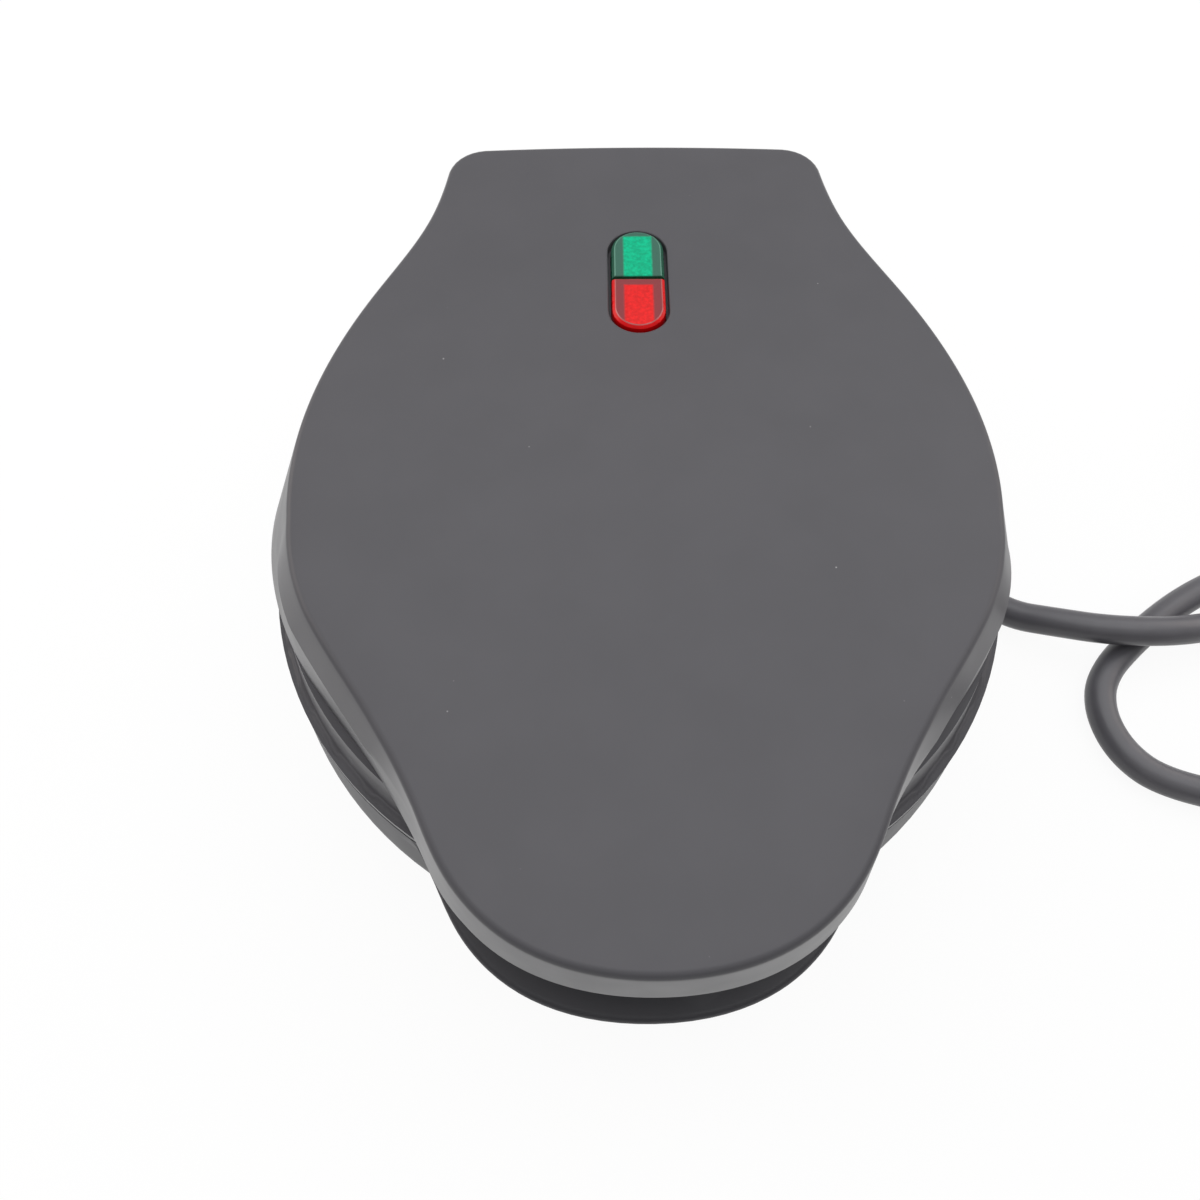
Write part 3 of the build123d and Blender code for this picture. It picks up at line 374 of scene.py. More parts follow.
CERAMIC = Finish("holder_moulding", (0.76, 0.75, 0.7), roughness=0.55, grain=0.2)
SLEEVE = Finish("woven_sleeve", (0.7, 0.68, 0.6), roughness=0.85, grain=0.5, grain_depth=0.12)
RUBBER = Finish("moulded_foot", (0.02, 0.02, 0.02), roughness=0.8, grain=0.2, grain_depth=0.02)
LEAD = Finish("lead_jacket", (0.098, 0.096, 0.106), roughness=0.36, grain=0.6, grain_depth=0.01, mottle=6.0,
              mottle_share=0.04)
TIE = Finish("tie_strap", (0.02, 0.02, 0.02), roughness=0.45, grain=0.3)
GLASS = Finish("clear_glass", (0.9, 0.85, 0.8), roughness=0.06, transmission=0.9)
# painted light: each window is painted brighter over the pale lamp holder that shows through it, and darker
# beside it
GREEN = Finish("green_field", (0.0, 0.41, 0.21), roughness=0.34, grain=0.45, grain_depth=0.06, mottle=0.7,
               mottle_share=0.18, specular=0.12, painted_light_panel=(2.9, 44.0, 57.2), painted_shade_margin=(0.045, 0.13, 0.095))
# painted highlight: a lighter line along the green window's thin upper bevel, where lamps would glint
GREEN_EDGE_PAINTED_HIGHLIGHT = Finish("green_edge_painted_highlight", (0.10, 0.26, 0.19), roughness=0.2, mottle=2.0)
# painted shade: the green window's sides, down in its sunk seat, are darkened
GREEN_SIDE_PAINTED_SHADE = Finish("green_side_painted_shade", (0.0, 0.07, 0.036), roughness=0.3, mottle=2.0, specular=0.2)
RED = Finish("red_field", (0.68, 0.016, 0.016), roughness=0.34, grain=0.45, grain_depth=0.06, mottle=0.7,
             mottle_share=0.12, specular=0.12, painted_light_panel=(2.9, 30.0, 43.6), painted_shade_margin=(0.23, 0.045, 0.05))
# painted highlight: a lighter line along the red window's thin upper bevel, where lamps would glint
RED_EDGE_PAINTED_HIGHLIGHT = Finish("red_edge_painted_highlight", (0.45, 0.09, 0.09), roughness=0.2, mottle=2.0)
RED_SIDE = Finish("red_side", (0.66, 0.0, 0.002), roughness=0.3, mottle=2.0, specular=0.2)


NODE_FINISH: dict[str, Finish] = {
    "lower_plate": COATING, "upper_plate": COATING, "lower_element": HEATER, "upper_element": HEATER,
    "lower_shield": SHEET, "upper_shield": SHEET, "thermostat": SHEET, "lid_screws": ZINC,
    "upper_plate_screws": ZINC, "lower_plate_screws": ZINC, "base_cover_screws": ZINC,
    "lamp_holder_screws": ZINC, "cord_clamp_screws": ZINC, "thermal_fuse": ZINC, "hinge_pins": STEEL,
    "green_lamp": GLASS, "red_lamp": GLASS, "lamp_holder": CERAMIC, "terminal_block": CERAMIC,
    "cord_clamp": CERAMIC, "base_loom": SLEEVE, "lid_loom": SLEEVE, "base_wires": SLEEVE,
    "lid_wires": SLEEVE, "rubber_feet": RUBBER, "inner_cord": LEAD, "strain_relief": LEAD,
    "plug_body": LEAD, "cord_tie": TIE, "plug_pins": NICKEL, "plug_earth_clips": NICKEL,
    "base_housing": LOWER_HOUSING_PAINTED_SHADE, "base_cover": LOWER_HOUSING_PAINTED_SHADE, "lid_frame": HOUSING, "lid_cover": HOUSING,
    "green_lens": GREEN, "red_lens": RED, "power_cord": LEAD, "cord_coil": LEAD, "cord_tail": LEAD,
}


# Modelling by hand

CRISP_ANGLE = 30.0         # angle above which an edge of a copied solid stays crisp, in degrees
FLAT_ANGLE = 0.4           # angle below which two faces of a copied solid are joined, in degrees
DOUBLE_GAP = 2e-6          # distance below which two vertices are merged, in metres
THIN_EDGE = 1e-7           # length below which an edge is dissolved, in metres
AREA_WEIGHT = 90           # weight of a face's area in a calmed shading, where 50 is none


def only(obj: bpy.types.Object) -> None:
    """Leaves one object selected and active.

    Args:
        obj: The object.
    """
    bpy.ops.object.select_all(action="DESELECT")
    obj.select_set(True)
    bpy.context.view_layer.objects.active = obj


def dress(obj: bpy.types.Object, finish: Finish) -> None:
    """Gives an object one finish all over."""
    obj.data.materials.clear()
    obj.data.materials.append(finish.material())


def smooth(obj: bpy.types.Object, degrees: float) -> None:
    """Shades an object smooth, with crisp edges above an angle."""
    only(obj)
    bpy.ops.object.shade_smooth_by_angle(angle=math.radians(degrees))


def mend(obj: bpy.types.Object, turn_out: bool = True) -> None:
    """Merges the doubles of a mesh and turns its faces outwards.

    Args:
        obj: The object.
        turn_out: Whether its normals are worked out anew.
    """
    only(obj)
    bpy.ops.object.mode_set(mode="EDIT")
    bpy.ops.mesh.select_all(action="SELECT")
    bpy.ops.mesh.remove_doubles(threshold=DOUBLE_GAP)
    bpy.ops.mesh.dissolve_degenerate(threshold=THIN_EDGE)
    if turn_out:
        bpy.ops.mesh.normals_make_consistent(inside=False)
    bpy.ops.object.mode_set(mode="OBJECT")


def rings(name: str, rows: Sequence[Sequence[Vector]]) -> bpy.types.Object:
    """A grid primitive whose rows are moved on to closed rings of points.

    Args:
        name: The object's name.
        rows: Rings of points, all with the same count, in metres.

    Returns:
        The new object, with its seam merged.
    """
    bpy.ops.object.select_all(action="DESELECT")
    wide = [[*row, row[0]] for row in rows]
    bpy.ops.mesh.primitive_grid_add(x_subdivisions=len(wide[0]) - 1, y_subdivisions=len(wide) - 1, size=1.0)
    obj = bpy.context.active_object
    obj.name = name
    obj.data.name = name
    places = np.array([tuple(point) for row in wide for point in row], np.float32)
    if len(places) != len(obj.data.vertices):
        raise ValueError(f"{name}: {len(obj.data.vertices)} vertices for {len(places)} points")
    obj.data.vertices.foreach_set("co", places.ravel())
    obj.data.update()
    mend(obj)
    return obj


def close_ends(obj: bpy.types.Object) -> None:
    """Fills the open ends of a skin and turns its faces outwards.

    Args:
        obj: The skin.
    """
    only(obj)
    bpy.ops.object.mode_set(mode="EDIT")
    bpy.ops.mesh.select_all(action="DESELECT")
    bpy.ops.mesh.select_mode(type="EDGE")
    bpy.ops.mesh.select_non_manifold()
    bpy.ops.mesh.edge_face_add()
    bpy.ops.mesh.select_all(action="SELECT")
    bpy.ops.mesh.normals_make_consistent(inside=False)
    bpy.ops.object.mode_set(mode="OBJECT")


def thicken(obj: bpy.types.Object, wall: float) -> None:
    """Gives a skin its wall, inwards.

    Args:
        obj: The skin.
        wall: Thickness of the wall, in millimetres.
    """
    only(obj)
    bpy.ops.object.modifier_add(type="SOLIDIFY")
    modifier = obj.modifiers[-1]
    modifier.thickness = wall * MM
    modifier.offset = -1.0
    bpy.ops.object.modifier_apply(modifier=modifier.name)


def recast(node: str, name: str) -> bpy.types.Object:
    """A merged copy of a CAD node, with flat faces joined and round ones shaded smooth.

    Args:
        node: The CAD node.
        name: Name of the copy.

    Returns:
        The copy.
    """
    source = bpy.data.objects[node]
    obj = bpy.data.objects.new(name, source.data.copy())
    obj.data.name = name
    bpy.context.scene.collection.objects.link(obj)
    mend(obj, turn_out=False)
    bpy.ops.object.mode_set(mode="EDIT")
    bpy.ops.mesh.select_all(action="SELECT")
    bpy.ops.mesh.dissolve_limited(angle_limit=math.radians(FLAT_ANGLE))
    bpy.ops.object.mode_set(mode="OBJECT")
    smooth(obj, CRISP_ANGLE)
    return obj


def calm(obj: bpy.types.Object) -> None:
    """Lets the large faces of a smooth object set its shading, so that slim ones leave no streaks.

    Args:
        obj: The object.
    """
    only(obj)
    bpy.ops.object.modifier_add(type="WEIGHTED_NORMAL")
    modifier = obj.modifiers[-1]
    modifier.keep_sharp = True
    modifier.weight = AREA_WEIGHT
    bpy.ops.object.modifier_apply(modifier=modifier.name)


def seat(obj: bpy.types.Object, finish: Finish, body: Body, nodes: Iterable[str]) -> None:
    """Dresses a piece, gives it its body and hides the CAD nodes that it stands for.

    Args:
        obj: The piece.
        finish: Its finish.
        body: The body that it moves with.
        nodes: Names of the CAD nodes.
    """
    dress(obj, finish)
    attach(obj, body.value)
    names = list(nodes)
    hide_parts(*names)
    LOG.info("%s stands for %s", obj.name, ", ".join(names))


@dataclass(frozen=True)
class CleanCopy:
    """A piece that stays a cleaned copy of its solid.

    A calmed copy has its shading evened.
    """

    node: str
    body: Body
    slot: Slot
    on_lead: bool = False
    calmed: bool = False

    def build(self) -> bpy.types.Object:
        """Makes the copy and seats it.

        Returns:
            The copy.
        """
        copy = recast(self.node, self.node + "_shell")
        if self.calmed:
            calm(copy)
        seat(copy, NODE_FINISH[self.node], self.body, (self.node,))
        return copy


COPIES = (
    CleanCopy("lid_frame", Body.LID, Slot.HOUSING, calmed=True),
    CleanCopy("base_housing", Body.BASE, Slot.HOUSING),
    CleanCopy("strain_relief", Body.BASE, Slot.LEAD, on_lead=True),
    CleanCopy("plug_body", Body.BASE, Slot.LEAD, on_lead=True),
    CleanCopy("plug_pins", Body.BASE, Slot.PLUG, on_lead=True),
    CleanCopy("cord_tie", Body.BASE, Slot.TIE, on_lead=True),
    CleanCopy("plug_earth_clips", Body.BASE, Slot.PLUG, on_lead=True),
)


# Outlines

DENSE_SIDES, DENSE_REAR = 1200, 160  # points of the sides and of half the rear end, before thinning
CORNER_CUT = 1.02          # share of a rear corner's radius at which both lines are cut
CORNER_PULL = 0.72         # how far the bend between the two cuts is drawn to the sharp corner
CORNER_STEPS = 9


def natural_spline(points: Sequence[Pair], count: int) -> np.ndarray:
    """A smooth line through points, with no bend at its two ends.

    Args:
        points: Points that the line passes through.
        count: How many points are wanted, evenly spaced along the chords.

    Returns:
        The points, one row each.
    """
    data = np.array(points, float)
    chords = np.linalg.norm(np.diff(data, axis=0), axis=1)
    knots = np.concatenate(([0.0], np.cumsum(chords)))
    size = len(data)
    matrix = np.zeros((size, size))
    right = np.zeros((size, 2))
    matrix[0, 0] = matrix[-1, -1] = 1.0
    for i in range(1, size - 1):
        before, after = chords[i - 1], chords[i]
        matrix[i, i - 1:i + 2] = before, 2 * (before + after), after
        right[i] = 6 * ((data[i + 1] - data[i]) / after - (data[i] - data[i - 1]) / before)
    bends = np.linalg.solve(matrix, right)
    places = np.linspace(0.0, knots[-1], count)
    spans = np.clip(np.searchsorted(knots, places, side="right") - 1, 0, size - 2)
    width = chords[spans][:, None]
    far = ((places - knots[spans])[:, None]) / width
    near = 1 - far
    curve = (near**3 - near) * bends[spans] + (far**3 - far) * bends[spans + 1]
    return near * data[spans] + far * data[spans + 1] + curve * width**2 / 6


@dataclass(frozen=True)
class Pear:
    """A pear-shaped outline, in rim radii.

    The half widths go from the rear end to the nose of the handle tongue. The last three say how
    far the outline reaches to the rear and to the front, and how much its rear end bows out.
    """

    rear: float
    flank: float
    hip: float
    waist: float
    neck: float
    nose: float
    rear_y: float
    front_y: float
    bow: float

    def side(self) -> list[Pair]:
        """The right side, from the rear corner to the tip of the tongue.

        Returns:
            The places that it passes through, in millimetres.
        """
        flare = self.flank - self.rear
        cheek = self.neck - 0.37 * (self.neck - self.nose)
        shares = [
            (self.rear, self.rear_y), (self.rear + 0.165 * flare, 0.83), (self.rear + 0.57 * flare, 0.5312),
            (self.flank, 0.0266), (self.hip, -0.425), (self.waist, -0.7171), (self.neck, -0.8964),
            (cheek, -1.0292), (self.nose, -1.1527), (0.0, self.front_y),
        ]
        return [(x * RIM_RADIUS, y * RIM_RADIUS) for x, y in shares]

    def outline(self, sides: int, rear: int, corner: float) -> np.ndarray:
        """The whole outline, from the rear middle round the right side to the rear middle again.

        Args:
            sides: Points on the long side, from corner to corner.
            rear: Points on each half of the rear end.
            corner: Radius of the rear corners, in millimetres.

        Returns:
            Points in millimetres, one row each, with the last not repeating the first.
        """
        right = self.side()
        whole = right + [(-x, y) for x, y in right[-2::-1]]
        dense = natural_spline(whole, DENSE_SIDES)
        x, y = right[0]
        bow = self.bow * RIM_RADIUS
        rear_half = np.array([(along, y + bow * (1 - (along / x) ** 2))
                              for along in np.linspace(0.0, x, DENSE_REAR)])
        start = np.array(right[0])
        cut = corner * CORNER_CUT
        side_cut = dense[np.linalg.norm(dense - start, axis=1) > cut]
        side_cut = side_cut[np.linalg.norm(side_cut - start * (-1, 1), axis=1) > cut]
        rear_cut = rear_half[np.linalg.norm(rear_half - start, axis=1) > cut]
        tip_a, tip_b = rear_cut[-1], side_cut[0]
        pull = CORNER_PULL * start + (1 - CORNER_PULL) * (tip_a + tip_b) / 2
        bend = np.array([(1 - t) ** 2 * tip_a + 2 * t * (1 - t) * pull + t**2 * tip_b
                         for t in np.linspace(0, 1, CORNER_STEPS)[1:-1]])
        flipped_bend = bend[::-1] * (-1, 1)
        flipped_rear = rear_cut[::-1] * (-1, 1)
        loop = np.vstack((rear_cut, bend, side_cut, flipped_bend, flipped_rear[:-1]))
        return even(loop, sides + 2 * rear)


def even(loop: np.ndarray, count: int) -> np.ndarray:
    """A closed line redrawn with evenly spaced points, starting at the same one.

    Args:
        loop: Points of the line, one row each.
        count: How many points are wanted.

    Returns:
        The points, one row each.
    """
    closed = np.vstack((loop, loop[:1]))
    lengths = np.concatenate(([0.0], np.cumsum(np.linalg.norm(np.diff(closed, axis=0), axis=1))))
    places = np.linspace(0.0, lengths[-1], count + 1)[:-1]
    return np.stack([np.interp(places, lengths, closed[:, axis]) for axis in (0, 1)], axis=1)


CAP_LOW = Pear(0.5710, 0.9907, 0.8560, 0.6370, 0.5339, 0.3506, 1.1753, -1.2523, 0.0106)
CAP_CREASE = Pear(0.5710, 0.9907, 0.8390, 0.6430, 0.5339, 0.3506, 1.1753, -1.2523, 0.0106)
CAP_TOP = Pear(0.5206, 0.8490, 0.7729, 0.5896, 0.5020, 0.3240, 1.1182, -1.2483, 0.0106)


@dataclass(frozen=True)
class Upright:
    """One upright line of the cap's wall: its places on three outlines, and the way inwards."""

    foot: np.ndarray
    held: np.ndarray
    head: np.ndarray
    inward: np.ndarray


@dataclass
class LidCover:
    """The pear-shaped cap of the lid, with its sunk seat for the two lenses.

    Heights, radii and lengths are in millimetres. The lower outline lies at the seam, the crease's
    at the crease and the top outline just above the crown. The place of the upper edge is found in
    a few rounds, and the wall's slope there by a probe below it.
    """

    seam: float = 54.0
    crown: float = 80.0
    crown_sag: float = 2.6
    reach: float = 94.3
    head_rise: float = 1.0
    corner_round: float = 6.0
    edge_round: float = 1.5
    wall: float = 2.2
    crease: float = 70.5
    crease_front: Pair = (-54.0, -67.0)
    crease_rear: Pair = (-32.0, -12.0)
    least_rise: float = 1.5
    ramp: tuple[Pair, ...] = ((-60.0, 54.0), (-82.0, 63.5), (-94.3, 64.5))
    lens_y: float = 43.2
    recess_width: float = 12.2
    recess_length: float = 28.6
    recess_depth: float = 2.3
    recess_lip: float = 0.5
    hole_width: float = 11.1
    hole_length: float = 27.4
    hole_depth: float = 1.3
    crisp_angle: float = 12.0
    side_points: int = 280
    rear_points: int = 20
    wall_rows: int = 7
    edge_rows: int = 9
    edge_rounds: int = 4
    edge_probe: float = 5.0
    crown_rows: int = 26
    ball: float = field(init=False)

    def __post_init__(self) -> None:
        """Works out the radius of the large ball that forms the crown."""
        self.ball = (self.reach**2 + self.crown_sag**2) / (2 * self.crown_sag)

    def crown_at(self, x: float, y: float) -> float:
        """Height of the crown above a place."""
        return self.crown - self.ball + math.sqrt(self.ball**2 - x**2 - y**2)

    def lower_edge(self, y: float) -> float:
        """Height of the cap's lower edge, which climbs under the handle tongue."""
        heights = [(-200.0, self.ramp[-1][1])] + sorted(self.ramp) + [(200.0, self.seam)]
        return float(np.interp(y, [p[0] for p in heights], [p[1] for p in heights]))

    def creased(self, y: float) -> float:
        """How far the wall follows its crease: 1 on the front flanks, 0 elsewhere."""
        front, rear = self.crease_front, self.crease_rear
        return float(np.interp(y, (front[1], front[0], rear[0], rear[1]), (0.0, 1.0, 1.0, 0.0)))

    def pill(self, width: float, length: float, towards: np.ndarray) -> np.ndarray:
        """Where rays from the lens seat's middle leave a pill shape.

        Args:
            width: Its width.
            length: Its length along Y.
            towards: Directions, one row each.

        Returns:
            The places, one row each.
        """
        half, straight = width / 2, (length - width) / 2
        result = []
        for dx, dy in towards:
            size = math.hypot(dx, dy)
            dx, dy = dx / size, dy / size
            slope = abs(dy) * half / abs(dx) if abs(dx) > 1e-9 else math.inf
            if slope <= straight:
                result.append((math.copysign(half, dx), math.copysign(slope, dy)))
            else:
                along = straight * abs(dy) + math.sqrt(half**2 - (straight * dx) ** 2)
                result.append((dx * along, dy * along))
        return np.array(result) + (0.0, self.lens_y)

    def uprights(self) -> list[Upright]:
        """The upright lines of the wall.

        Returns:
            The lines, in order round the cap.
        """
        low, held, top = (pear.outline(self.side_points, self.rear_points, self.corner_round)
                          for pear in (CAP_LOW, CAP_CREASE, CAP_TOP))
        tangents = np.roll(low, -1, axis=0) - np.roll(low, 1, axis=0)
        tangents /= np.linalg.norm(tangents, axis=1)[:, None]
        inward = np.stack((tangents[:, 1], -tangents[:, 0]), axis=1)
        if np.sum(inward * -low) < 0:
            inward = -inward
        return [Upright(*places) for places in zip(low, held, top, inward)]

    def wall_at(self, line: Upright, z: float) -> np.ndarray:
        """Place of an upright line at a height.

        Args:
            line: The upright line.
            z: The height.

        Returns:
            The place, x and y.
        """
        top = self.crown + self.head_rise
        slanted = line.foot + (line.head - line.foot) * (z - self.seam) / (top - self.seam)
        if z < self.crease:
            bent = line.foot + (line.held - line.foot) * (z - self.seam) / (self.crease - self.seam)
        else:
            bent = line.held + (line.head - line.held) * (z - self.crease) / (top - self.crease)
        return slanted + (bent - slanted) * self.creased(line.foot[1])

    def edge_points(self, line: Upright) -> list[np.ndarray]:
        """The rounded upper edge, where the wall meets the crown.

        Args:
            line: The upright line.

        Returns:
            Points from the wall to the crown.
        """
        height = self.crown - 1
        for _ in range(self.edge_rounds):
            height = self.crown_at(*self.wall_at(line, height))
        corner = np.array((*self.wall_at(line, height), height))
        below = height - self.edge_probe
        down = np.array((*self.wall_at(line, below), below)) - corner
        down /= np.linalg.norm(down)
        flat = np.array((*line.inward, 0.0))
        ahead = corner + flat
        flat[2] = self.crown_at(ahead[0], ahead[1]) - corner[2]
        flat /= np.linalg.norm(flat)
        turn = math.acos(float(np.dot(down, flat)))
        reach = self.edge_round / math.tan(turn / 2)
        first, last = corner + down * reach, corner + flat * reach
        arc = []
        for t in np.linspace(0, 1, self.edge_rows):
            a, b, c = (1 - t) ** 2, 2 * t * (1 - t) * math.sin(turn / 2), t**2
            arc.append((a * first + b * corner + c * last) / (a + b + c))
        return arc

    def wall_points(self, line: Upright, top: float) -> list[np.ndarray]:
        """The wall, from its lower edge past the crease to just below the rounded edge.

        Args:
            line: The upright line.
            top: Height at which the rounded edge starts.

        Returns:
            Points from the bottom to the top.
        """
        edge = self.lower_edge(line.foot[1])
        bend = max(self.crease, edge + self.least_rise)
        heights = (edge, bend, *np.linspace(bend, top, self.wall_rows)[1:-1])
        return [np.array((*self.wall_at(line, z), z)) for z in heights]

    def seat_rows(self, lip: np.ndarray, towards: np.ndarray) -> list[list[Vector]]:
        """The lens seat: its rounded lip, its wall, its floor and the hole in it.

        Args:
            lip: Places where the crown ends.
            towards: Directions of the points from the seat's middle.

        Returns:
            Rings of points, from the lip down.
        """
        floor = self.crown_at(0.0, self.lens_y) - self.recess_depth
        wall = self.pill(self.recess_width, self.recess_length, towards)
        hole = self.pill(self.hole_width, self.hole_length, towards)
        return [
            [at(x, y, self.crown_at(x, y) - 0.1) for x, y in wall * 0.7 + lip * 0.3],
            [at(x, y, self.crown_at(x, y) - 0.3) for x, y in wall],
            [at(x, y, floor) for x, y in wall],
            [at(x, y, floor) for x, y in hole],
            [at(x, y, floor - self.hole_depth) for x, y in hole],
        ]

    def build(self) -> bpy.types.Object:
        """Models the cap as one skin, then gives it its wall.

        Returns:
            The cap.
        """
        columns = []
        for line in self.uprights():
            edge = self.edge_points(line)
            columns.append(self.wall_points(line, edge[0][2]) + edge)
        rows = [[at(*column[step]) for column in columns] for step in range(len(columns[0]))]
        last = np.array([column[-1][:2] for column in columns])
        towards = last - (0.0, self.lens_y)
        lip = self.pill(self.recess_width + self.recess_lip, self.recess_length + self.recess_lip, towards)
        for share in np.linspace(0, 1, self.crown_rows + 1)[1:]:
            rows.append([at(x, y, self.crown_at(x, y)) for x, y in last * (1 - share) + lip * share])
        obj = rings("cap_skin", rows + self.seat_rows(lip, towards))
        thicken(obj, self.wall)
        smooth(obj, self.crisp_angle)
        seat(obj, HOUSING, Body.LID, ("lid_cover",))
        return obj


@dataclass
class Lens:
    """One window of the indicator lamps, with its bevel, its raised field and its hidden flange.

    It is drawn towards the rear of the seat; the front one is the same turned half round.
    Heights, widths and lengths are in millimetres. The last four values tell its sides, its thin
    upper edge and its flat end apart, for painted shade on the green sides, a deeper red on the red
    ones and a painted highlight along the upper edge.
    """

    front: bool
    width: float = 10.8
    length: float = 13.3
    gap: float = 0.3
    seat_height: float = 75.4
    top: float = 80.2
    flange: float = 1.2
    lip: float = 1.6
    bevel: float = 0.6
    middle_y: float = 43.2
    flat_steps: int = 12
    side_steps: int = 8
    round_steps: int = 32
    crisp_angle: float = 25.0
    side_share: float = 0.6
    edge_below: float = 0.05
    edge_above: float = 0.01
    end_reach: float = 0.7

    def loop(self, grow: float, near: float) -> list[Pair]:
        """A half pill: flat near the seat's middle, round at its far end.

        Args:
            grow: How far it is grown to both sides and at the round end.
            near: Distance of the flat end from the seat's middle.

        Returns:
            The places, in order.
        """
        half = self.width / 2 + grow
        centre = self.length + (self.gap - self.width) / 2
        turns = np.linspace(0, math.pi, self.round_steps + 1)[:-1]
        flat = [(x, near) for x in np.linspace(-half, half, self.flat_steps + 1)[:-1]]
        right = [(half, y) for y in np.linspace(near, centre, self.side_steps + 1)[:-1]]
        end = [(half * math.cos(turn), centre + half * math.sin(turn)) for turn in turns]
        left = [(-half, y) for y in np.linspace(centre, near, self.side_steps + 1)[:-1]]
        return flat + right + end + left

    def build(self) -> bpy.types.Object:
        """Models the lens from rings, bottom to top.

        Returns:
            The lens.
        """
        near = self.gap / 2
        low, top = self.seat_height - self.flange, self.top
        core = -self.width / 2 + 0.3
        steps = (
            (core, near + 4.0, low),
            (self.lip, near, low),
            (self.lip, near, self.seat_height),
            (0.0, near, self.seat_height),
            (0.0, near, top - self.bevel - 0.5),
            (-0.1, near + 0.05, top - self.bevel),
            (-self.bevel, near + 0.25, top - 0.12),
            (-self.bevel - 0.22, near + 0.45, top),
            (-self.bevel - 1.4, near + 1.3, top + 0.04),
            (-self.bevel - 3.2, near + 2.6, top + 0.08),
            (core, near + 4.0, top + 0.1),
        )
        sign = -1 if self.front else 1
        rows = [[at(sign * x, self.middle_y + sign * y, z) for x, y in self.loop(grow, flat)]
                for grow, flat, z in steps]
        obj = rings("red_window_piece" if self.front else "green_window_piece", rows)
        close_ends(obj)
        smooth(obj, self.crisp_angle)
        node = "red_lens" if self.front else "green_lens"
        seat(obj, NODE_FINISH[node], Body.LID, (node,))
        self.paint_sides_and_edge_highlight(obj)
        return obj

    def paint_sides_and_edge_highlight(self, obj: bpy.types.Object) -> None:
        """Gives the sides and the thin upper edge of a dressed lens their own tints: painted shade on the
        green sides, a deeper red on the red ones and a painted highlight along the upper edge.

        Args:
            obj: The lens.
        """
        for finish in (RED_SIDE, RED_EDGE_PAINTED_HIGHLIGHT) if self.front else (GREEN_SIDE_PAINTED_SHADE, GREEN_EDGE_PAINTED_HIGHLIGHT):
            obj.data.materials.append(finish.material())
        crest, foot = self.top * MM, (self.top - self.bevel * self.side_share) * MM
        middle = at(0.0, self.middle_y, 0.0).y
        for face in obj.data.polygons:
            flat_end = abs(face.center.y - middle) < self.end_reach * MM
            heights = [obj.data.vertices[index].co.z for index in face.vertices]
            lowest, highest = min(heights), max(heights)
            on_edge = lowest < crest - self.edge_below * MM and highest < crest + self.edge_above * MM
            if lowest < foot:
                # the green sides get painted shade, the red ones a deeper red
                face.material_index = 1
            elif on_edge and (self.front or not flat_end):
                # painted highlight along the thin upper edge
                face.material_index = 2


